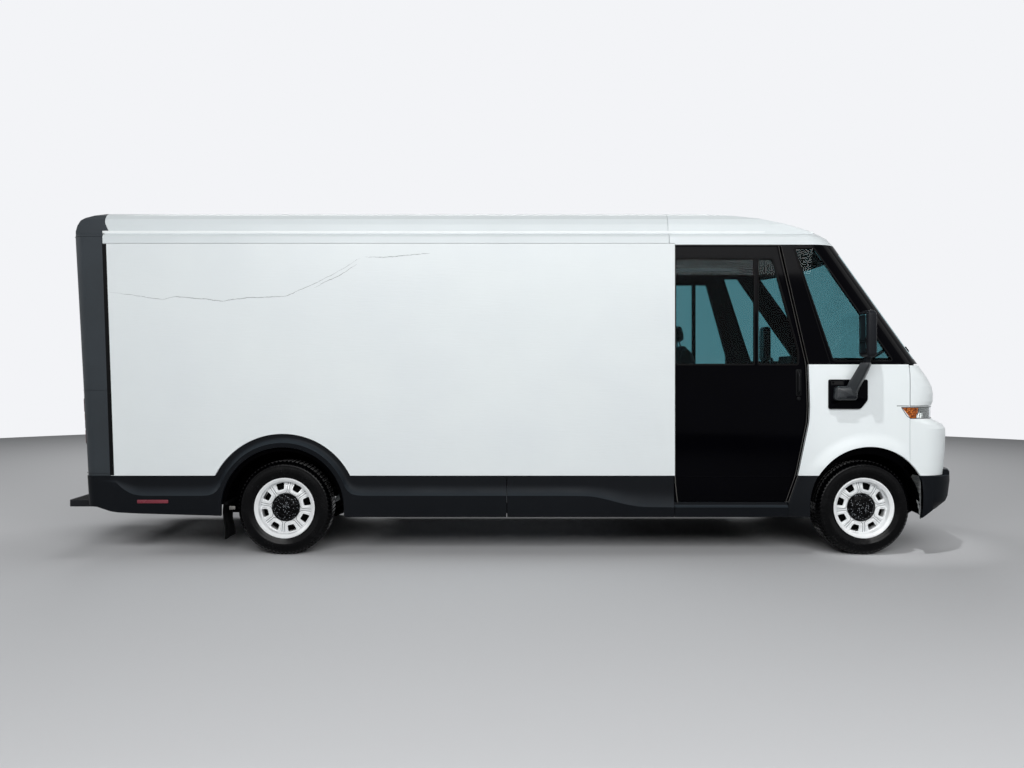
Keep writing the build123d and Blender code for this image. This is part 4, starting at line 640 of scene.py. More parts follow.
def makeTyre(name, x, y, side, body):
    # a ring: its section runs from bead to bead over the tread; x = r cos a, z = r sin a
    # r loses the block depth where the share of a block's turn is under a third, in the shoulder's band
    w, d = tyre["grooveWidth"] / 2, tyre["grooveDepth"]
    run = list(tyre["half"])
    for groove in tyre["grooves"]:
        run += [(379.5, groove + w + 0.8), (379.5 - d, groove + w * 0.7), (379.5 - d, groove - w * 0.7),
                (379.7, groove - w - 0.8)]
    run = np.array(run + [(380, 0)], float)
    profile = np.concatenate([run, (run * [1.0, -1.0])[-2::-1]])
    turn = np.arange(tyre["columns"]) / tyre["columns"]
    radius = np.broadcast_to(profile[:, 0], (tyre["columns"], len(profile))).copy()
    outer = np.abs(profile[:, 1])
    shoulder = (outer > 73.5) & (outer < 117.5) & (profile[:, 0] > 352)
    middle = (outer < 73.5) & (profile[:, 0] > 375)
    wall = (outer > 115) & (profile[:, 0] > 338) & (profile[:, 0] < 350)
    cut = ((turn * tyre["blocks"]) % 1.0 < 0.34)[:, None] * shoulder[None]
    sipe = (((turn + 0.5 / tyre["blocks"]) * tyre["blocks"]) % 1.0 < 0.17)[:, None] * middle[None]
    rib = ((turn * tyre["ribs"]) % 1.0 < 0.5)[:, None] & wall[None]
    radius -= cut * tyre["blockDepth"] * np.interp(outer, [73.5, 100, 117.5], [1, 1, 0.5])[None]
    radius -= sipe * tyre["sipeDepth"]
    deep = np.broadcast_to(profile[:, 1], radius.shape) * np.where(rib, 0.988, 1.0)
    radius, deep, angle = mm(radius), mm(deep), turn[:, None] * 2 * np.pi
    points = np.stack([x + np.cos(angle) * radius, y + side * deep, hubZ + np.sin(angle) * radius], -1)
    makePiece(name + "Rubber", [(points, True, True, False)], "tyreRubber", body, 28.0, (name,))


# ---------- wheel discs' pressed collars, rolled edge and hub cap

# outlines in the disc's plane and (radius, depth) sections in millimetres; widths, heights and the flutes' depth in
# metres
rim = {"holes": 8, "collarWidth": 0.013, "collarHeight": 0.013, "foldWidth": 0.0045,
       "hole": [(132, -39), (206, -51), (206, 51), (132, 39)],
       # an open line up one flank of a hole, over its inner end and down the other
       "fold": [(197, 72), (143, 51), (122, 43), (114, 22), (114, -22), (122, -43), (143, -51), (197, -72)],
       # a ring of painted shade between the rim's edge and the disc
       "grime": [(227.5, 101.5), (225.5, 98), (223.5, 96)],
       "edge": [(230, 112), (232, 117.5), (235.5, 120), (239.5, 119.5), (242, 116), (241, 111), (236, 109)],
       "step": [(204, 53), (207, 56), (211, 63), (214, 72), (217, 80), (221, 88), (224, 92), (222, 84), (217, 72),
                (210, 56)],
       "cap": [(113, 58), (112, 68), (109, 71), (104, 71.5), (101, 75), (97, 84), (88, 92), (74, 96.5), (60, 98.5),
               (56, 97), (52, 99), (34, 100.5), (18, 101), (0.5, 101.2)],
       "flutes": 12, "fluteDepth": 0.0022}


def discHeight(r):
    # the pressed disc's outer face against the wheel's centre plane
    return np.interp(r, [0.060, 0.104, 0.120, 0.150, 0.196, 0.206, 0.214],
                     [0.048, 0.048, 0.064, 0.066, 0.050, 0.046, 0.075])


def spun(profile, x, y, side, closed, count=96):
    # a (radius, depth) section in millimetres carried round the wheel
    points = mm(profile)
    return (turned(np.stack([points[:, 0], y + side * points[:, 1]], 1), (x, hubZ), count), True, closed, False)


def dressWheel(name, x, y, side, body, firstHole):
    # each hole has a raised collar and a grey line of painted shade in the fold round it; then the rim's edge, its
    # inner step and the cap
    def onDisc(line, angle, lift):
        c, s = math.cos(angle), math.sin(angle)
        px, pz = line[:, 0] * c - line[:, 1] * s, line[:, 0] * s + line[:, 1] * c
        return np.stack([x + px, y + side * (discHeight(np.hypot(line[:, 0], line[:, 1])) + lift), hubZ + pz], 1)

    hole, fold = roundedOutline(mm(rim["hole"]), 0.022, 6), resample(mm(rim["fold"]), 60)
    angles = [math.radians(firstHole + 360.0 / rim["holes"] * i) for i in range(rim["holes"])]
    collars = [bead(onDisc(hole, angle, 0.001), rim["collarWidth"], rim["collarHeight"], (0, side, 0), True)
               for angle in angles]
    folds = [bead(onDisc(fold, angle, 0.0006), rim["foldWidth"], 0.003, (0, side, 0), False, 6) for angle in angles]
    makePiece(name + "Folds", folds + [spun(rim["grime"], x, y, side, False)], "roadGrime", body, 40.0)
    collars += [spun(rim[key], x, y, side, True) for key in ("edge", "step")]
    makePiece(name + "Pressings", collars, "rimPaint", body, 40.0, ())
    # shallow flutes between the cap's shoulder and its middle, where a cosine round the cap is over 0.3
    shell, back = spun(rim["cap"], x, y, side, False), spun([(113, 58), (90, 60)], x, y, side, False)
    radius = np.array(rim["cap"])[:, 0]
    flute = (np.cos(around(96) * rim["flutes"]) > 0.3)[:, None] * ((radius > 55) & (radius < 100))[None]
    shell[0][..., 1] -= side * rim["fluteDepth"] * flute
    makePiece(name + "HubCap", [shell, back], "hubPlastic", body, 35.0)


def makeBrake(name, x, y, side, body, fins):
    # a finned drum that fills the wheel behind the disc's holes, near black as painted shade in the wheel
    drum = [(60, 26), (120, 27), (176, 27), (186, 22), (190, 12)]
    for k in range(fins):
        drum += [(193, 6 - k * 9), (193, 2 - k * 9), (188, 0 - k * 9), (188, -3 - k * 9)]
    drum += [(186, 1 - fins * 9), (70, -1 - fins * 9)]
    makePiece(name, [spun(drum, x, y, side, True, 72)], "brakeIron", body, 30.0)


for place, x, firstHole in (("front", frontX, -15.0), ("rear", rearX, -30.0)):
    for sideName, side in (("left", 1.0), ("right", -1.0)):
        stem = place + "_" + sideName
        carrier, fins = ("van_body", 5) if place == "rear" else (sideName + "_knuckle", 2)
        makeTyre(stem + "_tyre", x, side * wheelY, side, stem + "_wheel")
        dressWheel(stem + "_rim", x, side * wheelY, side, stem + "_wheel", firstHole)
        makeBrake(stem + "_brake", x, side * wheelY, side, carrier, fins)
print("wheels made")

# ---------- side panels' trim: marker lamp, joints, the dark strip at the tail and a long scratch

# millimetres; joints are pairs of a height and a width
trim = {"scratchWidth": 4.5, "scratchWave": 3.5, "tailFoot": fx - 6032.0, "tailLean": 2.0, "sealantWidth": 29.0,
        "joints": ((668, 5), (1330, 4), (2556, 4)), "marker": (rx - 1155, rx - 908, 430, 458), "markerStand": 11.0}


def tailLine(z):
    # the tail's joint leans back from its foot
    return trim["tailFoot"] - (z - cladding["top"]) * math.tan(math.radians(trim["tailLean"]))


marker = mm(roundedOutline(rectangle(*trim["marker"]), 7.0))
makePair("sideMarkers", [padGrid(marker, sideY - 0.004, sideY + trim["markerStand"] * 0.001, 0.003)], "markerRed",
         40.0, ())

# dark strip between the tail's surround and the white panel, painted shade of the gap between them
strip = [(tailLine(649) + 1, 652), (tailLine(2497) + 1, 2497), (tailLine(2497) + 1 + trim["sealantWidth"], 2497),
         (tailLine(649) + 1 + trim["sealantWidth"], 652)]
stripGrid = padGrid(roundedOutline(mm(strip), 0.004), sideY - 0.002, sideY + 0.0012, 0.0006)
makePair("tailSealant", [stripGrid], "sealRubber")


def tailRound(z, count=26):
    # a level line round the tail's corner at a height: side, quarter circle, back
    back = np.interp(z, [300, 663, 2543, 2603, 2649, 2692], np.array([125, 103, 3, 8, 16, 39])) + tx
    radius = cladding["cornerRadius"]
    turn = np.radians(np.linspace(90, 180, count))
    corner = np.stack([back + radius + radius * np.cos(turn), sy - radius + radius * np.sin(turn)], 1)
    flat = np.concatenate([[(tailLine(z), sy), (back + radius, sy)], corner, [(back, sy - 240.0)]])
    return mm(np.column_stack([flat, np.full(len(flat), z)]))


makePair("tailJoints", [bead(tailRound(float(z)), width * 0.001, 0.0014, (0, 0, 1))
                        for z, width in trim["joints"]], "sealRubber")

# millimetres from the rear axle, and heights
scratchLines = [
    [(-1378, 2112), (-1131, 2079), (-949, 2053), (-858, 2079), (-614, 2057), (-477, 2041), (-363, 2059), (26, 2079),
     (117, 2122), (285, 2194), (483, 2300), (618, 2384)],
    [(254, 2147), (468, 2254), (597, 2338)],
    [(656, 2389), (839, 2391), (992, 2407), (1174, 2422)],
]


def makeScratch():
    # a long scrape on the right side alone: thin wavy ribbons that swell and fade along their run
    grids = []
    rng = np.random.default_rng(5)
    for line in scratchLines:
        points = resample(mm(np.array(line, float) + [rx, 0.0]), len(line) * 9)
        points[:, 1] += np.convolve(rng.normal(0, trim["scratchWave"] * 0.001, len(points)), np.ones(3) / 3, "same")
        swell = np.sin(np.linspace(0, np.pi, len(points))) ** 0.5 * rng.uniform(0.5, 1.2, len(points))
        width = trim["scratchWidth"] * 0.0005 * np.clip(swell, 0.12, 1)
        turn = around(6)
        x = points[:, None, 0] + 0.0 * turn
        z = points[:, None, 1] + width[:, None] * np.cos(turn)
        y = -(sideY + 0.0002 + 0.0004 * np.sin(turn))[None] + 0.0 * x
        grids.append((np.stack([x, y, z], -1), False, True, True))
    makePiece("panelScratch", grids, "scuffGrey")


makeScratch()

# radii and heights in millimetres round the front wheel's opening; ends is how much of the height is left at its
# ends, and fade the share of its run over which it goes
flare = {"centre": (15.0, 409.0), "inner": 471.0, "outer": 584.0, "height": 17.0, "front": 334.0, "low": 650.0,
         "ends": 0.5, "fade": 0.12, "root": -9.0}


def makeFenderFlares():
    # a swelling round the front arch, highest at the lip: its height follows smooth(1 - share of its width), and
    # each radius runs from the upright line at the fender's front edge round to the level of its lower edge
    share = np.linspace(0.0, 1.0, 16) ** 0.8
    radius = flare["outer"] + (flare["inner"] - flare["outer"]) * share
    radius = np.concatenate([radius, [flare["inner"], flare["outer"]]])
    first = np.arccos((flare["front"] - flare["centre"][0]) / radius)
    last = np.pi - np.arcsin((flare["low"] - flare["centre"][1]) / radius)
    run = np.linspace(0.0, 1.0, 120)[:, None]
    angle = first + (last - first) * run
    fade = flare["ends"] + (1 - flare["ends"]) * smooth(np.minimum(run, 1 - run) / flare["fade"])
    depth = np.concatenate([0.2 + flare["height"] * smooth(share), [flare["root"]] * 2])
    depth = np.where(depth > 0, depth * fade, depth)
    x = fx + flare["centre"][0] + radius * np.cos(angle)
    z = flare["centre"][1] + radius * np.sin(angle)
    ring = (mm(np.stack([x, sy + depth, z], -1)), False, True, True)
    makePair("fenderFlares", [ring], "whitePaint", 40.0, ())


makeFenderFlares()


sealerWidth, sealerHeight = 0.0046, 0.004  # metres, in the roof's joint and the nose's

# the drip rail in metres; the dark gusset behind the tail surround and the joint's outline in millimetres
rail = {"start": tailX + 0.236, "in": 0.045, "z": 2.596, "end": 2.45, "width": 0.023, "height": 0.010,
        "gussetX": tx + 222.0, "gussetWidth": 62.0, "gussetZ": (2604.0, 2694.0),
        "joint": [(1098, 2546), (1097, 2554), (1085, 2569.5), (1053, 2579.5), (1043, 2657), (1031, 2701),
                  (1001.5, 2735), (959, 2755), (699.5, 2779), (0, 2787)]}


def makeRoofEdge():
    # a rounded bead along the foot of the roof's shoulder, which sinks into it over the cab, and the dark gusset
    # behind the tail surround: its width shrinks in a straight line with height, 1.5 mm off the leaning shoulder
    x = np.linspace(rail["start"], rail["end"], 80)
    y = sideY - np.interp(x, [rail["end"] - 0.7, rail["end"]], [rail["in"], rail["in"] + 0.013])
    path = np.stack([x, y, np.full(80, rail["z"])], 1)
    # the bead is painted whiter than the roof: a painted highlight along the foot of the shoulder
    makePair("roofBeads", [bead(path, rail["width"], rail["height"], sides=12)], "railPaint")
    z = np.linspace(*rail["gussetZ"], 10)
    near, far = np.full(10, rail["gussetX"]), rail["gussetX"] + rail["gussetWidth"] * np.linspace(1.0, 0.3, 10)
    y = sy - np.interp(z, [2582, 2660, 2704], [44, 54, 66])
    x = np.stack([near, far, far, near], 1)
    deep = np.stack([y + 1.5, y + 1.5, y - 4.0, y - 4.0], 1)
    gusset = mm(np.stack([x, deep, np.broadcast_to(z[:, None], x.shape)], -1))
    makePair("roofGussets", [(gusset, False, True, True)], "tailPlastic")
    # sealer in the joint between the two roofs: their outline sunk by 3 mm, from one drip rail over to the other
    half = np.array(rail["joint"])
    line = resample(mm(np.concatenate([half, (half * [-1, 1])[-2::-1]])), 200)
    joint = (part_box("cargo_roof")[1][0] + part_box("cab_roof")[0][0]) / 2
    path = np.stack([np.full(200, joint), line[:, 0], line[:, 1]], 1)
    up = np.stack([np.zeros(200), line[:, 0], (line[:, 1] - 2.2) * 2.0], 1)
    makePiece("roofSealer", [bead(path, sealerWidth, sealerHeight, up, False, 6)], "seamSealer")


makeRoofEdge()
print("side trim made")

# ---------- cab door trim: window rubbers, divider, handle, lock and seals

# millimetres; the panes and the edge are outlines of x and z
openRear = fx - 1535.0
door = {"face": 1066.0, "rubberWidth": 16.0, "rubberHeight": 8.0, "handleX": fx - 537.0, "handleLow": 1296.0,
        "handleHigh": 1484.0, "handleStand": 22.0, "lockZ": 1262.0,
        "panes": (rectangle(openRear + 10, fx - 889, 2382, 1534),
                  [(fx - 865, 2382), (fx - 746, 2382), (fx - 540, 1640), (fx - 540, 1534), (fx - 865, 1534)]),
        "edge": [(fx - 688, 2486), (fx - 469, 1538), (fx - 458, 1200), (fx - 465, 1070), (fx - 554, 650),
                 (fx - 630, 436)]}


def disc(x, z, radius, count):
    # a circle's outline in millimetres, given back in metres
    turn = around(count)
    return np.stack([x * 0.001 + radius * 0.001 * np.cos(turn), z * 0.001 + radius * 0.001 * np.sin(turn)], 1)


def dressDoor(sideName, side):
    face, body = door["face"] * 0.001, sideName + "_cab_door"
    rubbers = [bead(onSide(roundedOutline(mm(pane), 0.022, 8), face * side), door["rubberWidth"] * 0.001,
                    door["rubberHeight"] * 0.001, (0, side, 0), True, 10) for pane in door["panes"]]
    makePiece(body + "Rubbers", rubbers, "sealRubber", body)
    # a pull: two feet and a bowed grip, an oval section swept along an arch that leaves the door and comes back
    z = np.linspace(door["handleLow"], door["handleHigh"], 24)
    stand = door["handleStand"] * 0.001 * np.clip(np.sin(np.linspace(0, 1, 24) * np.pi) * 2.4, 0, 1)
    path = np.stack([np.full(24, door["handleX"] * 0.001), side * (face + 0.002 + stand), z * 0.001], 1)
    base = roundedBox(fx - 560, fx - 514, 1284, 1496, 0.014)
    lock = disc(door["handleX"], door["lockZ"], 15.0, 24)
    grips = [bead(path, 0.024, 0.016, (0, side, 0), False, 12),
             padGrid(base, side * (face - 0.001), side * (face + 0.005), 0.003),
             padGrid(lock, side * (face - 0.001), side * (face + 0.008), 0.004)]
    makePiece(body + "Handle", grips, "handlePlastic", body)
    # shallow pressed line across the lower door, and a glazing rail between the two panes
    line = onSide(resample(mm([(openRear + 8, 637), (fx - 586, 637)]), 12), side * face)
    post = roundedBox(fx - 887, fx - 867, 1540, 2376, 0.004, 4)
    presses = [bead(line, 0.009, 0.005, (0, side, 0)),
               padGrid(post, side * (face - 0.002), side * (face + 0.006), 0.003)]
    makePiece(body + "Pressings", presses, "glossBlackPaint", body)


for sideName, side in (("left", 1.0), ("right", -1.0)):
    dressDoor(sideName, side)

# weather strips on the body: two lines along the opening's front edge, one along its rear edge and one along its head;
# each is a line with its depth under the side plane, its width and its height, in metres
edgeLine = resample(mm(door["edge"]), 60)
rearLine = resample(mm([(openRear + 3, 2486), (openRear + 3, 655), (openRear + 9, 560), (openRear + 24, 436)]), 30)
headLine = resample(mm([(openRear + 6, 2486), (fx - 690, 2486)]), 20)
strips = ((edgeLine, 0.004, 0.0035, 0.010), (edgeLine - [0.017, 0.0], 0.016, 0.004, 0.010),
          (rearLine, 0.012, 0.007, 0.012), (headLine, 0.010, 0.006, 0.012))
makePair("doorSeals", [bead(onSide(line, sideY - deep), width, height)
                       for line, deep, width, height in strips], "weatherStrip")

# quarter window: a raised frame line round the pane, and one along the post behind it
frameLine = roundedOutline(mm([(fx - 575, 2458), (fx - 430, 2458), (fx + 195, 1568), (fx - 268, 1568)]), 0.02, 8)
frameLine = frameLine + outwards(frameLine) * 0.006
postLine = resample(mm([(fx - 596, 2479), (fx - 300, 1549)]), 20)
makePair("quarterFrames", [bead(onSide(frameLine, sideY + 0.0005), 0.012, 0.006, (0, 1, 0), True),
                           bead(onSide(postLine, sideY + 0.0005), 0.006, 0.004)], "sealRubber")
print("doors and side windows trimmed")

# ---------- nose surface, for everything laid on the front

# height, foremost x of the corner ahead of the front axle, and how far the middle bows out
noseTable = np.array([
    (280, 690, 62), (650, 697, 62), (817, 713, 66), (973, 718, 72), (1020, 716, 76), (1055, 690, 80), (1088, 620, 84),
    (1102, 600, 86), (1198, 599, 88), (1239, 615, 90), (1304, 618, 90), (1361, 605, 92), (1426, 572, 96),
    (1491, 524, 104), (1538, 492, 110), (2488, -189, 120), (2551, -248, 120)], float)
noseCorner, noseReach = 250.0, 850.0


def noseShape(z):
    # corner's centre x, bow circle's centre x and radius, and the angle at which they meet
    centre = np.interp(z, noseTable[:, 0], noseTable[:, 1]) + fx - noseCorner
    bow = np.interp(z, noseTable[:, 0], noseTable[:, 2])
    spread = (bow ** 2 + noseReach ** 2) / (2 * bow)
    return centre, centre - (spread - bow), spread + noseCorner, np.arctan2(noseReach, spread - bow)


def noseSkin(z, q, inset=0.0):
    # q runs 0 to 1 from the middle along the bow, 1 to 2 round the corner, then back along the side, 300 mm to each 1:
    # bow (cx + R cos a, R sin a), corner (c + 250 cos a, 850 + 250 sin a), side (c - 300 (q - 2), 1100); all less inset
    z, q = np.broadcast_arrays(np.asarray(z, float), np.asarray(q, float))
    centre, bowX, bowR, join = noseShape(z)
    onBow = np.clip(q, 0, 1) * join
    onCorner = join + np.clip(q - 1, 0, 1) * (np.pi / 2 - join)
    x = np.where(q <= 1, bowX + (bowR - inset) * np.cos(onBow), centre + (noseCorner - inset) * np.cos(onCorner))
    y = np.where(q <= 1, (bowR - inset) * np.sin(onBow), noseReach + (noseCorner - inset) * np.sin(onCorner))
    x = x - np.clip(q - 2, 0, None) * 300.0
    return mm(np.stack([x, y, z], -1))


def qFromY(z, y):
    # where a distance from the middle falls on the bow
    _, _, bowR, join = noseShape(z)
    return np.arcsin(y / bowR) / join


def qFromX(z, x):
    # where an x falls on the corner or the side
    centre, _, _, join = noseShape(z)
    angle = np.arccos(np.clip((x - centre) / noseCorner, 0.0, 1.0))
    return np.where(x < centre, 2.0 + (centre - x) / 300.0, 1.0 + (angle - join) / (np.pi / 2 - join))


def qFromEdge(z, y):
    # where a distance from the middle falls on the corner
    _, _, _, join = noseShape(z)
    angle = np.arcsin(np.clip((y - noseReach) / noseCorner, 0.0, 1.0))
    return 1.0 + (np.clip(angle, join, None) - join) / (np.pi / 2 - join)


def sheet(outer, inner):
    # two sheets of points joined round their edges
    return (np.swapaxes(np.concatenate([outer, inner[::-1]], 0), 0, 1), False, True, True)


# heights and distances in millimetres; rear and front are the amber block's edges, at the heights given with them
lamp = {"low": 1107.0, "high": 1191.0, "inner": 546.0, "rear": ([1107, 1125, 1191], [345.0, 318.0, 275.0]),
        "front": ([1107, 1150, 1191], [385.0, 402.0, 408.0]), "frameIn": 541.0, "frameGap": 4.0,
        "bowlZ": 1149.0, "bowls": ((590.0, 30.0), (668.0, 30.0), (746.0, 26.0))}


def makeHeadlights():
    # the lens wraps the corner: an amber block behind, clear over fluted reflector towards the middle
    z = lamp["low"] + (lamp["high"] - lamp["low"]) * np.linspace(0, 1, 9)[:, None]
    qRear, qFront = (qFromX(z, fx + np.interp(z, *lamp[key])) for key in ("rear", "front"))
    qInner = qFromY(z, lamp["inner"])

    def slab(qa, qb, outer, inner, columns, ripple=0.0):
        u = np.linspace(0, 1, columns)[None]
        q = qa + (qb - qa) * u
        depth = outer + ripple * (1 + np.cos(u * 2 * np.pi * (columns // 6))) + 0 * q
        return sheet(noseSkin(z + 0 * q, q, depth), noseSkin(z + 0 * q, q, inner))

    makePair("lampAmbers", [slab(qRear, qFront, 1.0, 20.0, 16)], "lampAmber", 35.0, ("headlights",))
    makePair("lampLenses", [slab(qFront - 0.004, qInner, 0.4, 3.4, 40)], "lampGlass")
    makePair("lampReflectors", [slab(qFront - 0.004, qInner, 12.0, 23.0, 121, 3.0)], "lampReflector")
    # three round lamps in each reflector: a ring and a bull's eye
    rings, turn = [], around(32)
    for y, radius in lamp["bowls"]:
        at = noseSkin(lamp["bowlZ"], qFromY(lamp["bowlZ"], y), 9.0)
        circle = np.stack([np.full(32, at[0]), at[1] + radius * 0.001 * np.sin(turn),
                           at[2] + radius * 0.001 * np.cos(turn)], 1)
        dome = mm([(radius * 0.72, -4), (radius * 0.66, 1), (radius * 0.4, 5), (0.4, 6.5)])
        points = np.stack([at[0] + np.broadcast_to(dome[:, 1], (32, 4)), at[1] + np.sin(turn)[:, None] * dome[:, 0],
                           at[2] + np.cos(turn)[:, None] * dome[:, 0]], -1)
        rings += [bead(circle, 0.006, 0.008, (1, 0, 0), True), (points, True, False, False)]
    makePair("lampBowls", rings, "zincPlate")
    # a dark recess line round the lamp and its short groove back along the fender
    rise = np.linspace(lamp["low"], lamp["high"], 10)
    heights, edge = lamp["rear"]
    qBack = qFromX(rise, fx + np.interp(rise, heights, np.array(edge) - lamp["frameGap"]))
    qTop, qMiddle, qLow = (float(qFromY(z, lamp["frameIn"])) for z in (1194.0, lamp["bowlZ"], 1104.0))
    zs = np.concatenate([rise, np.full(40, 1193.5), rise[::-1], np.full(40, 1104.5)])
    qs = np.concatenate([qBack, np.linspace(qBack[-1], qTop, 40), np.full(10, qMiddle),
                         np.linspace(qLow, qBack[0], 40)])
    groove = onSide(resample(mm([(fx + 233, 1205), (fx + 300, 1205), (fx + 330, 1204)]), 12), sideY)
    makePair("lampFrames", [bead(noseSkin(zs, qs, 0.6), 0.005, 0.006, (0.5, 0.8, 0.1), True),
                            bead(groove, 0.005, 0.003)], "sealRubber")


makeHeadlights()
print("headlights made")

# ---------- windscreen: printed band and wipers

# millimetres; edge is the pane's side edge, from the middle
screen = {"edge": 1046.0, "topBand": 60.0, "lowBand": 40.0, "lowZ": 1541.0, "highZ": 2485.0}


def makeScreenBand():
    # black ceramic print round the pane, just inside its outer face: three strips a side that follow the nose
    def strip(z, qa, qb, columns):
        q = qa[:, None] + (qb - qa)[:, None] * np.linspace(0, 1, columns)[None]
        outer, inner = (noseSkin(z[:, None] + 0 * q, q, inset) for inset in (-0.6, 0.4))
        return (np.concatenate([outer, inner[:, ::-1]], 1), False, True, True)

    def level(z0, z1, edge):
        # a level strip from the middle out to the pane's edge, as it lies at one height
        return strip(np.linspace(z0, z1, 5), np.zeros(5), np.full(5, float(qFromEdge(edge, screen["edge"]))), 40)

    low, high = screen["lowZ"], screen["highZ"]
    z = np.linspace(low, high, 30)
    edge = qFromEdge(z, screen["edge"])
    makePair("screenBand", [strip(z, edge + 0.06, edge - 0.14, 8), level(high - screen["topBand"], high, high),
                            level(low, low + screen["lowBand"], low)], "glossBlackPaint")


# millimetres and degrees; cap is the pivot's (radius, height) section and axis the way it points
wiper = {"pivots": (430.0, -330.0), "armLength": 700.0, "tilt": 9.0, "armZ": 1552.0, "bladeZ": 1563.0,
         "pivotZ": 1550.0, "cap": [(24, -9), (23, -4), (18, -1), (10, 1), (0.5, 2)], "axis": (0.62, 0.0, 0.78)}


def makeWipers():
    # each arm lies along the foot of the glass: pivot cap, a bowed arm and a blade with its rubber lip
    def onGlass(pivot, run, foot, inset):
        y = pivot - run * wiper["armLength"] * math.cos(math.radians(wiper["tilt"]))
        z = foot + run * wiper["armLength"] * math.sin(math.radians(wiper["tilt"]))
        one = np.ones(len(run))
        return noseSkin(z, qFromY(z, np.abs(y)), inset) * np.stack([one, np.where(y < 0, -1.0, 1.0), one], 1)

    arms, blades, turn, dome = [], [], around(24)[:, None, None], mm(wiper["cap"])
    axis, across = np.array(wiper["axis"]), np.array([0.0, 1.0, 0.0])
    run, lip = np.linspace(0, 1, 24), np.linspace(0.12, 1.04, 30)
    for pivot in wiper["pivots"]:
        path = onGlass(pivot, run, wiper["armZ"], -4.0 - 4.0 * np.sin(run * np.pi))
        arms.append(bead(path, 0.017, 0.010, (0.7, 0, 0.7), False, 10))
        blades.append(bead(onGlass(pivot, lip, wiper["bladeZ"], -3.0), 0.012, 0.013, (0.7, 0, 0.7)))
        centre = noseSkin(wiper["pivotZ"], qFromY(wiper["pivotZ"], abs(pivot)), -6.0) * [1, np.sign(pivot), 1]
        points = centre + dome[None, :, 1:] * axis + dome[None, :, :1] * (
            np.cos(turn) * across + np.sin(turn) * np.cross(axis, across))
        arms.append((points, True, False, False))
    makePiece("wiperArms", arms, "dashPlastic")
    makePiece("wiperBlades", blades, "sealRubber")


makeScreenBand()
makeWipers()
print("windscreen trimmed")

# ---------- mirrors: shaped head, leaning arm, foot and plate, in place of the plain ones

# millimetres: the head's x from the front axle, its edges outside the side plane and its height; arm and neck are
# sections of (x, y outside the side plane, z, half length, half width); plate, screws and panes are x or y, and z
mirror = {"headX": -70.0, "headIn": 75.0, "headOut": 255.0, "low": 1590.0, "high": 1955.0, "deep": 80.0,
          "arm": [(-152, 40, 1268, 46, 42), (-152, 44, 1310, 48, 44), (-142, 58, 1350, 49, 45),
                  (-126, 78, 1395, 48, 44), (-106, 100, 1445, 46, 41), (-88, 120, 1495, 43, 38),
                  (-78, 134, 1526, 41, 36), (-74, 138, 1548, 36, 32)],
          "neck": [(-70, 140, 1536, 24, 24), (-66, 156, 1575, 24, 24), (-66, 160, 1606, 26, 26)],
          "foot": [(-288, 1252), (-114, 1252), (-106, 1366), (-278, 1362)], "twist": 38.0,
          "plate": [(-314, 1181), (-62, 1181), (-5, 1250), (-5, 1416), (-314, 1416)],
          "screws": ((-285, 1205), (-285, 1392), (-40, 1385)), "panes": ((1722.0, 1925.0), (1618.0, 1706.0))}


def ringBlock(levels, count=40, power=4.0, twist=0.0):
    # stacked rounded rectangles: |x/a|^n + |y/b|^n = 1 at each level's centre, half sizes and height,
    # turned about the upright axis
    turn = around(count)
    x, y, z, a, b = (np.array(column, float)[:, None] for column in zip(*levels))
    dx = a * np.sign(np.cos(turn)) * np.abs(np.cos(turn)) ** (2 / power)
    dy = b * np.sign(np.sin(turn)) * np.abs(np.sin(turn)) ** (2 / power)
    c, s = math.cos(twist), math.sin(twist)
    return (mm(np.stack([x + dx * c - dy * s, y + dx * s + dy * c, z + 0 * dx], -1)), False, True, True)


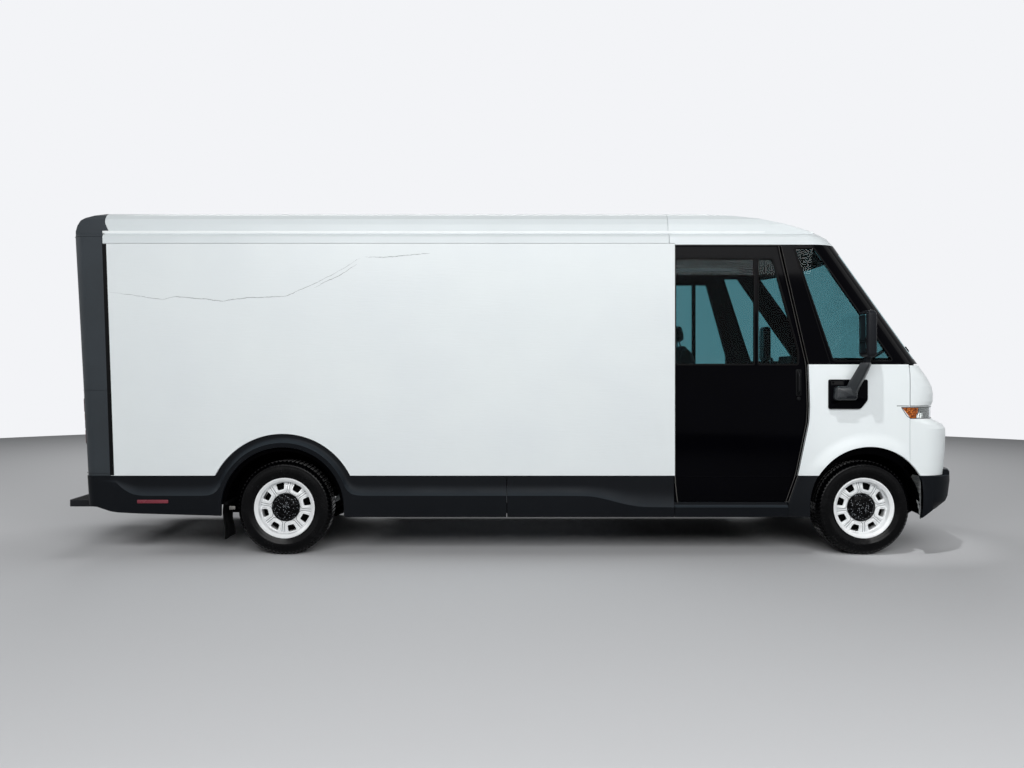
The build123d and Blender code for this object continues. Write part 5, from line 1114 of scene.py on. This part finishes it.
def makeMirror(name):
    def fromFender(points):
        # places counted from the front axle and the side plane
        return [(fx + dx, sy + dy, *rest) for dx, dy, *rest in points]

    def outline(points, radius, steps):
        return roundedOutline(mm([(fx + dx, z) for dx, z in points]), radius, steps)

    x, y0, y1 = fx + mirror["headX"], sy + mirror["headIn"], sy + mirror["headOut"]
    mid, half, deep = (y0 + y1) / 2, (y1 - y0) / 2, mirror["deep"] / 2
    turn = np.linspace(0, np.pi / 2, 6)
    # the head's lower and upper edges are rounded: the half sizes shrink by sine while the height goes by cosine
    levels = [(x + 2, mid, mirror["low"] + 34 * (1 - math.cos(t)), deep - 26 * (1 - math.sin(t)),
               half - 26 * (1 - math.sin(t))) for t in turn]
    levels += [(x + 2, mid, mirror["high"] - 40 * (1 - math.cos(t)), deep - 30 * (1 - math.sin(t)),
                half - 30 * (1 - math.sin(t))) for t in turn[::-1]]
    # the arm leans forwards and outwards, one corner of its section towards the side
    arm = ringBlock(fromFender(mirror["arm"]), 40, 4.5, math.radians(mirror["twist"]))
    foot = padGrid(outline(mirror["foot"], 0.024, 7), sideY + 0.018, sideY + 0.094, 0.022)
    makePair(name + "Stays", [arm, foot], "mirrorArm", 40.0, ())
    latch = padGrid(outline(rectangle(-205, -125, 1268, 1290), 0.008, 5), sideY + 0.090, sideY + 0.0945, 0.002)
    head = [ringBlock(levels, 48, 5.0), ringBlock(fromFender(mirror["neck"]), 32, 3.0), latch]
    makePair(name + "Shells", head, "mirrorShell", 40.0, ("side_mirrors",))
    plates = [padGrid(outline(mirror["plate"], 0.016, 6), sideY + 0.0004, sideY + 0.028, 0.012)]
    plates += [padGrid(disc(fx + dx, z, 9.0, 20), sideY + 0.024, sideY + 0.0305, 0.003) for dx, z in mirror["screws"]]
    makePair(name + "Plates", plates, "glossBlackPaint", 40.0, ())
    # two panes in a frame on the rear face: the big flat one and the small wide-angle one under it
    frames, panes, face = [], [], x - 36.0
    for z0, z1 in mirror["panes"]:
        pane = roundedBox(y0 + 26, y1 - 26, z0, z1, 0.016)
        path = np.stack([np.full(len(pane), face * 0.001), pane[:, 0], pane[:, 1]], 1)
        frames.append(bead(path, 0.008, 0.008, (1, 0, 0), True))
        panes.append(padGrid(pane, (face + 4) * 0.001, (face - 1.5) * 0.001, 0.001, "yz"))
    makePair(name + "Frames", frames, "sealRubber")
    makePair(name + "Panes", panes, "mirrorSilver", 40.0, ("mirror_glass",))


makeMirror("sideMirror")
print("mirrors made")

# ---------- mud flaps, their brackets, dark sheets of painted shade and wheel-house liners

bracket = roundedOutline(mm([(rx - 442, 368), (rx - 393, 371), (rx - 393, 397), (rx - 442, 400)]), 0.004, 4)
makePair("flapBrackets", [padGrid(bracket, sideY - 0.062, sideY - 0.056, 0.002)], "zincPlate")

# millimetres: inner and outer are distances from the middle
flap = {"x": rx - 493.0, "low": 132.0, "high": 428.0, "inner": 797.0, "outer": 1044.0, "thick": 9.0}


def thickened(front, thick):
    # a sheet of points in millimetres and its copy that much further forwards, as one closed grid
    return (mm(np.concatenate([front, front[:, ::-1] + [thick, 0.0, 0.0]], 1)), False, True, True)


def makeFlaps():
    # a rubber sheet that has taken a set: x = place + 20 u^2 forwards towards its foot, plus two soft
    # waves down and one across it; a folded hem along the outer edge
    u = np.linspace(0, 1, 40)[:, None]
    v = np.linspace(0, 1, 16)[None]
    z = flap["high"] - (flap["high"] - flap["low"]) * u + 0 * v
    y = flap["inner"] + (flap["outer"] - flap["inner"]) * v + 3.0 * np.sin(u * 13.0) * (v > 0.9)
    x = flap["x"] + 20.0 * u ** 2 + 5.0 * np.sin(u * 9.0 + v * 2.0) + 3.0 * np.cos(v * 7.0)
    rubber = thickened(np.stack([x, y, z], -1), flap["thick"])
    beam = roundedBox(rx - 500, rx - 452, 776, 1050, 0.004, 4)
    makePair("mudFlaps", [rubber, padGrid(beam, 0.412, 0.439, 0.003, "xy")], "flapRubber", 35.0, ("mud_flaps",))


makeFlaps()

# dark sheets inboard of the wheels that close the view under the floor: near black, painted shade where the floor lies
# in shadow
rearSheet = roundedBox(rx - 530, rx - 330, 300, 690, 0.03)
frontSheet = roundedOutline(mm([(fx + 424, 302), (fx + 560, 380), (fx + 560, 640), (fx + 424, 640)]), 0.02, 6)
makePair("splashSheets", [padGrid(rearSheet, 0.733, 0.739, 0.002), padGrid(frontSheet, 0.852, 0.858, 0.002)],
         "linerFelt")


# millimetres; edge is its inner edge, as heights and distances from the middle
liner = {"x": fx + 433.0, "bow": 5.0, "ribHeight": 2.0, "ribPitch": 40.0, "thick": 5.0,
         "edge": ([300, 376, 441, 506, 567, 600, 640], [1066, 1046, 1013, 946, 880, 900, 945])}


def makeLiners():
    # a pressed sheet across the front of each front wheel's room, square to the side: x is its place plus the bow
    # times a half sine across it, and the ribs' height times a sine of the height
    z = np.linspace(300, 640, 60)
    innerEdge = np.interp(z, *liner["edge"])
    u = np.linspace(0, 1, 12)[None]
    y = (sy - 26.0) * (1 - u) + innerEdge[:, None] * u
    ribs = liner["ribHeight"] * np.sin(z[:, None] * 2 * np.pi / liner["ribPitch"]) * (u > 0.05)
    x = liner["x"] + liner["bow"] * np.sin(u * np.pi) + ribs
    front = np.stack([x, y, np.broadcast_to(z[:, None], x.shape)], -1)
    makePair("frontLiners", [thickened(front, liner["thick"])], "linerMesh")


makeLiners()

# the bumper's edge behind the front wheel's arch stands nearly upright, narrower than the round hole
returnLine = [(fx + 418, 646), (fx + 434, 600), (fx + 442, 500), (fx + 440, 409), (fx + 432, 340), (fx + 429, 310)]
outer = [(fx + 444, 314), (fx + 522, 374), (fx + 522, 646)]
returns = padGrid(roundedOutline(mm(returnLine + outer), 0.006, 4), sideY - 0.024, sideY - 0.0006, 0.003)
makePair("bumperReturns", [returns], "mouldedCladding")

# ---------- tail: lamps, door rubbers, handle, plate recess, seal and step tread

# millimetres, heights along the leaning face
tail = {"faceLow": tx + 102.0, "lowZ": 663.0, "lean": math.atan2(102.0, 1880.0), "lampIn": 931, "lampOut": 999,
        "window": (126.0, 644.0, 1496, 2234), "panel": (60, 790, 800, 1400)}


def onTail(y, z, stand):
    # a point on the leaning rear face, z counted along the face's height, stand outwards from it
    y, z, stand = np.broadcast_arrays(np.asarray(y, float), np.asarray(z, float), np.asarray(stand, float))
    rise = z - tail["lowZ"]
    c, s = math.cos(tail["lean"]), math.sin(tail["lean"])
    return mm(np.stack([tail["faceLow"] - rise * s - stand * c, y, tail["lowZ"] + rise * c - stand * s], -1))


def tailPad(y0, y1, z0, z1, corner, low, high, edge):
    # a slab on the rear face, with rounded corners
    return tailSlab(roundedOutline(rectangle(y0, y1, z0, z1), corner, 5), low, high, edge)


def tailSlab(outline, low, high, edge):
    points, a, b, c = padGrid(outline, low, high, edge, "yz")
    return (onTail(points[..., 1], points[..., 2], points[..., 0]), a, b, c)


# each row: piece, finish, and for each lens its low and high edge, its corner and how far it stands out
for name, finish, replaced, lenses in (
        ("tailLampsRed", "lampRed", ("tail_lights",), ((1150, 1259, 10, 13), (901, 1010, 10, 13))),
        ("tailLampsAmber", "lampAmber", (), ((1084, 1144, 8, 12),)),
        ("tailLampsClear", "lampReflector", (), ((1016, 1078, 8, 12),))):
    makePair(name, [tailPad(tail["lampIn"], tail["lampOut"], low, high, corner, 1, stand, 4)
                    for low, high, corner, stand in lenses], finish, 40.0, replaced)
makePair("tailLampTrays", [tailPad(922, 1008, 890, 1270, 14, 0.2, 6, 3)], "sealRubber")
makePiece("highStopLamp", [tailPad(-160, 160, 2486, 2512, 8, 0.5, 12, 5)], "lampRed", "van_body", 40.0, ())

for sideName, side in (("left", 1.0), ("right", -1.0)):
    body, flip = sideName + "_rear_door", np.array([1.0, side, 1.0])
    line = roundedOutline(rectangle(*tail["window"]), 34, 5)
    rubber = bead(onTail(line[:, 0], line[:, 1], 2.0) * flip, 0.020, 0.010, (-1, 0, 0), True, 10)
    panel = roundedOutline(rectangle(*tail["panel"]), 40, 5)
    press = bead(onTail(panel[:, 0], panel[:, 1], 0.5) * flip, 0.010, 0.005, (-1, 0, 0), True)
    makePiece(body + "Rubber", [rubber], "sealRubber", body)
    makePiece(body + "Pressing", [press], "tailPlastic", body)
pull = onTail(np.linspace(-158, -52, 20), np.full(20, 1300.0),
              10 + 20 * np.clip(np.sin(np.linspace(0, 1, 20) * np.pi) * 2, 0, 1))
lock = np.stack([-105 + 13 * np.cos(around(20)), 1240 + 13 * np.sin(around(20))], 1)
handle = [tailPad(-170, -40, 1270, 1330, 16, 0.3, 12, 5), bead(pull, 0.022, 0.014, (-1, 0, 0), False, 10),
          tailSlab(lock, 0.3, 8, 3)]
makePiece("rearDoorHandle", handle, "dashPlastic", "right_rear_door")
makePiece("rearPlateHolder", [tailPad(150, 470, 980, 1145, 10, 0.3, 5, 2)], "dashPlastic", "left_rear_door")
makePiece("rearPlateBlank", [tailPad(158, 462, 988, 1137, 8, 5, 6.5, 0.6)], "rimPaint", "left_rear_door")
doorSeal = onTail(np.full(30, 0.0), np.linspace(726, 2440, 30), 1.0)
makePiece("rearDoorSeal", [bead(doorSeal, 0.007, 0.006, (-1, 0, 0))], "sealRubber", "left_rear_door")


# a rib's width and height in metres, the others in millimetres
tread = {"pitch": 18.0, "width": 0.009, "height": 0.005, "length": 256.0, "reach": 690, "z": 400.6}


def makeStepTread():
    # ribs across the step: each is a low rounded bar, an oval in section
    x0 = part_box("rear_step")[0][0] * 1000 + 16
    x1 = x0 + tread["length"]
    across = np.linspace(-tread["reach"], tread["reach"], 8)
    ribs = [bead(mm([(x, y, tread["z"]) for y in across]), tread["width"], tread["height"], (0, 0, 1))
            for x in np.arange(x0 + 8, x1 - 4, tread["pitch"])]
    pad = roundedBox(x0, x1, -700, 700, 0.02)
    makePiece("stepTread", ribs + [padGrid(pad, 0.3995, 0.4012, 0.0008, "xy")], "flapRubber")


makeStepTread()
print("tail made")

# ---------- nose: joint sealer, grille bars and blank number plate

# millimetres: barReach is the grille bars' half length, across the van
noseTrim = {"sealerX": fx + 338.0, "sealerZ": (757.0, 1524.0), "bars": (704.0, 722.0, 740.0, 758.0, 776.0),
            "barReach": 765.0}


def makeNoseTrim():
    # sealer in the joint between the fender and the nose, 4 mm below the skin
    z = np.linspace(*noseTrim["sealerZ"], 120)
    sealer = noseSkin(z, qFromX(z, np.full(120, noseTrim["sealerX"])), 4.0)
    makePair("noseSealers", [bead(sealer, sealerWidth, sealerHeight, sides=6)], "seamSealer")
    bars = []
    for z in noseTrim["bars"]:
        q = np.linspace(0.0, float(qFromY(z, noseTrim["barReach"])), 40)
        bars.append(bead(noseSkin(np.full(40, z), q, 6.0), 0.012, 0.008, (1, 0, 0)))
    makePair("grilleBars", bars, "mouldedCladding")
    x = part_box("front_bumper")[1][0] - 0.014
    holder = roundedBox(-168, 168, 446, 606, 0.01)
    makePiece("frontPlateHolder", [padGrid(holder, x - 0.001, x + 0.006, 0.003, "yz")], "dashPlastic")
    blank = roundedBox(-154, 154, 452, 600, 0.008)
    makePiece("frontPlateBlank", [padGrid(blank, x + 0.006, x + 0.008, 0.001, "yz")], "rimPaint")


makeNoseTrim()

# ---------- inside: seat cushions, blown up by cloth simulation and sewn afterwards

# lean in degrees, voxel, cap and the seams' sizes in millimetres; shrink is what the swelling gives back
seat = {"lean": 12.0, "fill": 0.9, "shrink": 12.0, "voxel": 6.0, "pressure": 4.0, "frames": 20, "cap": 24.0,
        "seamWidth": 8.0, "seamHeight": 5.0}
cushionLow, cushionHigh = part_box("seat_cushions")
seatX, seatY = fx - 830.0, (cushionLow[1] + cushionHigh[1]) / 2 * 1000.0
leanC, leanS = math.cos(math.radians(seat["lean"])), math.sin(math.radians(seat["lean"]))


def onBack(up, off):
    # millimetres up the leaning back and off its plate, to x and z
    return seatX - 235.0 - up * leanS + off * leanC, 940.0 + up * leanC + off * leanS


def padBlock(size, place, lean=0.0, count=30, power=5.0):
    # a pillow: the sphere's directions stretched to |x/a|^n + |y/b|^n + |z/c|^n = 1, then leaned back and placed
    turn = np.linspace(0, 2 * np.pi, count * 2, endpoint=False)
    rise = np.linspace(-np.pi / 2, np.pi / 2, count)
    d = np.stack([np.cos(rise)[:, None] * np.cos(turn), np.cos(rise)[:, None] * np.sin(turn),
                  np.broadcast_to(np.sin(rise)[:, None], (count, count * 2))], -1)
    half = (np.array(size, float) - seat["shrink"]) / 2
    points = d * (np.sum(np.abs(d / half) ** power, -1) ** (-1 / power))[..., None]
    c, s = math.cos(math.radians(lean)), math.sin(math.radians(lean))
    return mm(np.stack([points[..., 0] * c - points[..., 2] * s + place[0], points[..., 1] + place[1],
                        points[..., 0] * s + points[..., 2] * c + place[2]], -1))


def meshOf(piece):
    # the mesh that a piece shows with its modifiers, as points and faces
    shown = piece.evaluated_get(bpy.context.evaluated_depsgraph_get())
    mesh = bpy.data.meshes.new_from_object(shown)
    points = np.empty(len(mesh.vertices) * 3)
    mesh.vertices.foreach_get("co", points)
    return mesh, points.reshape(-1, 3)


def swollen(name, pads):
    # the pads joined into one skin by voxels, blown up as cloth, and held to the cap: each point keeps its
    # direction of travel, and its distance becomes cap times tanh(distance / cap)
    piece = placed(name, meshFrom(name, [(points, False, True, False) for points in pads]))
    remesh = piece.modifiers.new("skin", "REMESH")
    remesh.mode, remesh.voxel_size = "VOXEL", seat["voxel"] * 0.001
    skin, before = meshOf(piece)
    piece.modifiers.clear()
    piece.data = skin
    cloth = piece.modifiers.new("cloth", "CLOTH")
    cloth.settings.use_pressure = True
    cloth.settings.uniform_pressure_force = seat["pressure"]
    cloth.settings.effector_weights.gravity = 0.0
    cloth.settings.quality = 5
    cloth.collision_settings.use_collision = False
    cloth.point_cache.frame_start, cloth.point_cache.frame_end = 1, seat["frames"]
    for number in range(1, seat["frames"] + 1):
        bpy.context.scene.frame_set(number)
    _, after = meshOf(piece)
    piece.modifiers.clear()
    bpy.context.scene.frame_set(1)
    move = after - before
    far = np.maximum(np.linalg.norm(move, axis=1, keepdims=True), 1e-9)
    cap = seat["cap"] * 0.001
    points = before + move / far * cap * np.tanh(far / cap)
    skin.vertices.foreach_set("co", points.ravel())
    print(name, "swollen by up to", round(float(np.abs(points - before).max()) * 1000), "mm")
    skin.update()
    skin.shade_smooth()
    skin.materials.clear()
    skin.materials.append(materials["seatCloth"])
    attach(piece, "van_body")
    return piece


def sewn(name, piece, lines):
    # welts laid along lines dropped onto the swollen skin: each point is where a ray first meets the pad
    tree = BVHTree.FromPolygons([v.co for v in piece.data.vertices], [f.vertices for f in piece.data.polygons])
    grids = []
    for start, ray in lines:
        hits = [tree.ray_cast(Vector(point), Vector(ray))[0] for point in mm(start)]
        hits = np.array([list(hit) for hit in hits if hit is not None])
        if len(hits) > 4:
            hits = resample(hits, 40)
            grids.append(bead(hits, seat["seamWidth"] * 0.001, seat["seamHeight"] * 0.001, tuple(-np.array(ray))))
    makePiece(name, grids, "seatWelt")


def cushion(name, middle, bolster, lean=0.0):
    # a middle pad and the same bolster at both its sides: each is its size, its x and z and its y from the middle
    pads = [padBlock(middle[0], (middle[1], seatY, middle[2]), lean)]
    if bolster:
        size, x, z, y = bolster
        pads += [padBlock(size, (x, seatY + side * y, z), lean) for side in (1.0, -1.0)]
    return swollen(name, pads)


base = cushion("seatBaseCushion", ((476, 334, 108), seatX + 56, 1020), ((456, 96, 116), seatX + 52, 1024, 190))
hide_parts("seat_cushions")
backCushion = cushion("seatBackCushion", ((112, 316, 612), *onBack(500.0, 77.0)),
                      ((118, 90, 560), *onBack(480.0, 84.0), 184), seat["lean"])
cushion("seatHeadrest", ((96, 262, 158), *onBack(905.0, 75.0)), None, seat["lean"])

# seams: lines over the base dropped straight down, and lines before the back dropped square to it
run, even = np.linspace(0, 1, 30), np.ones(30)
baseLines = [(np.stack([seatX - 150 + 420 * run, even * (seatY + side * 148), even * 1300.0], 1), (0, 0, -1))
             for side in (1.0, -1.0)]
baseLines.append((np.stack([even * (seatX + 190.0), seatY - 140 + 280 * run, even * 1300.0], 1), (0, 0, -1)))
backLines = []
for side in (1.0, -1.0):
    lineX, lineZ = onBack(230.0 + 540.0 * run, 400.0)
    backLines.append((np.stack([lineX, even * (seatY + side * 142), lineZ], 1), (-leanC, 0, -leanS)))
for up in (380.0, 620.0):
    lineX, lineZ = onBack(up, 400.0)
    backLines.append((np.stack([even * lineX, seatY - 136 + 272 * run, even * lineZ], 1), (-leanC, 0, -leanS)))
posts = []
for side in (1.0, -1.0):
    lineX, lineZ = onBack(np.linspace(740.0, 860.0, 8), 72.0)
    path = mm(np.stack([lineX, np.full(8, seatY + side * 62.0), lineZ], 1))
    posts.append(bead(path, 0.013, 0.013, (1, 0, 0), False, 12))
makePiece("headrestPosts", posts, "zincPlate")
sewn("seatBaseSeams", base, baseLines)
sewn("seatBackSeams", backCushion, backLines)
print("seat made")

# ---------- studio

stage = {"floorHex": "#D2D3D5", "floorRadius": 16.0, "skyHex": "#F3F4F7", "fillHex": "#F2F6FA", "ambient": 0.08}

angles = around(128)
floorMesh = bpy.data.meshes.new("studioFloor")
ring = np.stack([np.cos(angles), np.sin(angles), np.zeros(128)], 1) * stage["floorRadius"]
floorMesh.from_pydata(ring.tolist(), [], [list(range(128))])
floor = placed("studioFloor", floorMesh)
tree, shader, place = startMaterial("paintedStudioFloor", {
    "Base Color": linear(stage["floorHex"]), "Roughness": 0.6, specular: 0.0})
feed(shader, "Roughness", mapped(tree, noise(tree, place, 0.8, 3.0), 0.0, 1.0, 0.55, 0.65))
floorMesh.materials.append(materials["paintedStudioFloor"])

# seen straight, through glass or in a gloss the surroundings are white; what they light is a weak even fill
world = bpy.data.worlds.new("studioWorld")
bpy.context.scene.world = world
world.use_nodes = True
tree = world.node_tree
tree.nodes.clear()
path = add(tree, "LightPath").outputs
seen = calc(tree, "MAXIMUM", calc(tree, "MAXIMUM", path["Is Camera Ray"], path["Is Transmission Ray"]),
            path["Is Glossy Ray"])
fill = add(tree, "Background", {"Color": linear(stage["fillHex"]), "Strength": stage["ambient"]})
white = add(tree, "Background", {"Color": linear(stage["skyHex"]), "Strength": 1.0})
mix = add(tree, "MixShader", links={0: seen, 1: fill.outputs[0], 2: white.outputs[0]})
add(tree, "OutputWorld", links={"Surface": mix.outputs[0]})


def aimed(name, kind, power, place, target, settings):
    # a lamp at a place, turned to its target
    light = bpy.data.lights.new(name, kind)
    light.energy = power
    for key, value in settings.items():
        setattr(light, key, value)
    lamp = placed(name, light)
    lamp.location = place
    lamp.rotation_euler = (Vector(target) - Vector(place)).to_track_quat("-Z", "Y").to_euler()


# name, length and width in metres, power in watts, place, target
for name, length, width, power, place, target in (
        ("overheadSoftbox", 8.0, 3.0, 14.0, (0.0, -1.6, 7.2), (0.0, -1.2, 0.0)),
        ("sideSoftbox", 10.0, 3.6, 700.0, (0.6, -9.4, 4.9), (0.2, 0.0, 1.2)),
        ("farSoftbox", 14.0, 3.0, 680.0, (0.0, 8.5, 8.2), (0.0, 5.0, 0.0)),
        ("frontSoftbox", 3.0, 3.0, 60.0, (9.0, -2.5, 5.0), (3.2, 0.0, 1.2)),
        ("rearSoftbox", 3.0, 3.0, 120.0, (-9.0, -2.5, 5.0), (-3.6, 0.0, 1.2))):
    aimed(name, "AREA", power, place, target, {"shape": "RECTANGLE", "size": length, "size_y": width})
# a narrow lamp high before the right side picks out the fender and drops the mirror's shadow on it
aimed("fenderSpot", "SPOT", 620.0, (1.33, -3.59, 6.43), (2.9, -1.1, 1.2),
      {"spot_size": 0.28, "spot_blend": 1.0, "shadow_soft_size": 0.05})

# metres, degrees, the lens in millimetres and the shifts as shares of the picture's width
view = {"place": (-0.183, -8.148, 1.475), "yaw": 0.0, "pitch": 0.0, "lens": 31.1, "shift": (0.0264, -0.0117)}
camera = placed("camera", bpy.data.cameras.new("camera"))
camera.location = view["place"]
yaw, pitch = math.radians(view["yaw"]), math.radians(view["pitch"])
ahead = Vector((math.sin(yaw) * math.cos(pitch), math.cos(yaw) * math.cos(pitch), math.sin(pitch)))
camera.rotation_euler = ahead.to_track_quat("-Z", "Y").to_euler()
camera.data.lens = view["lens"]
camera.data.shift_x, camera.data.shift_y = view["shift"]
bpy.context.scene.camera = camera
bpy.context.scene.view_settings.view_transform = "Standard"
print("stage, lamps and camera set")
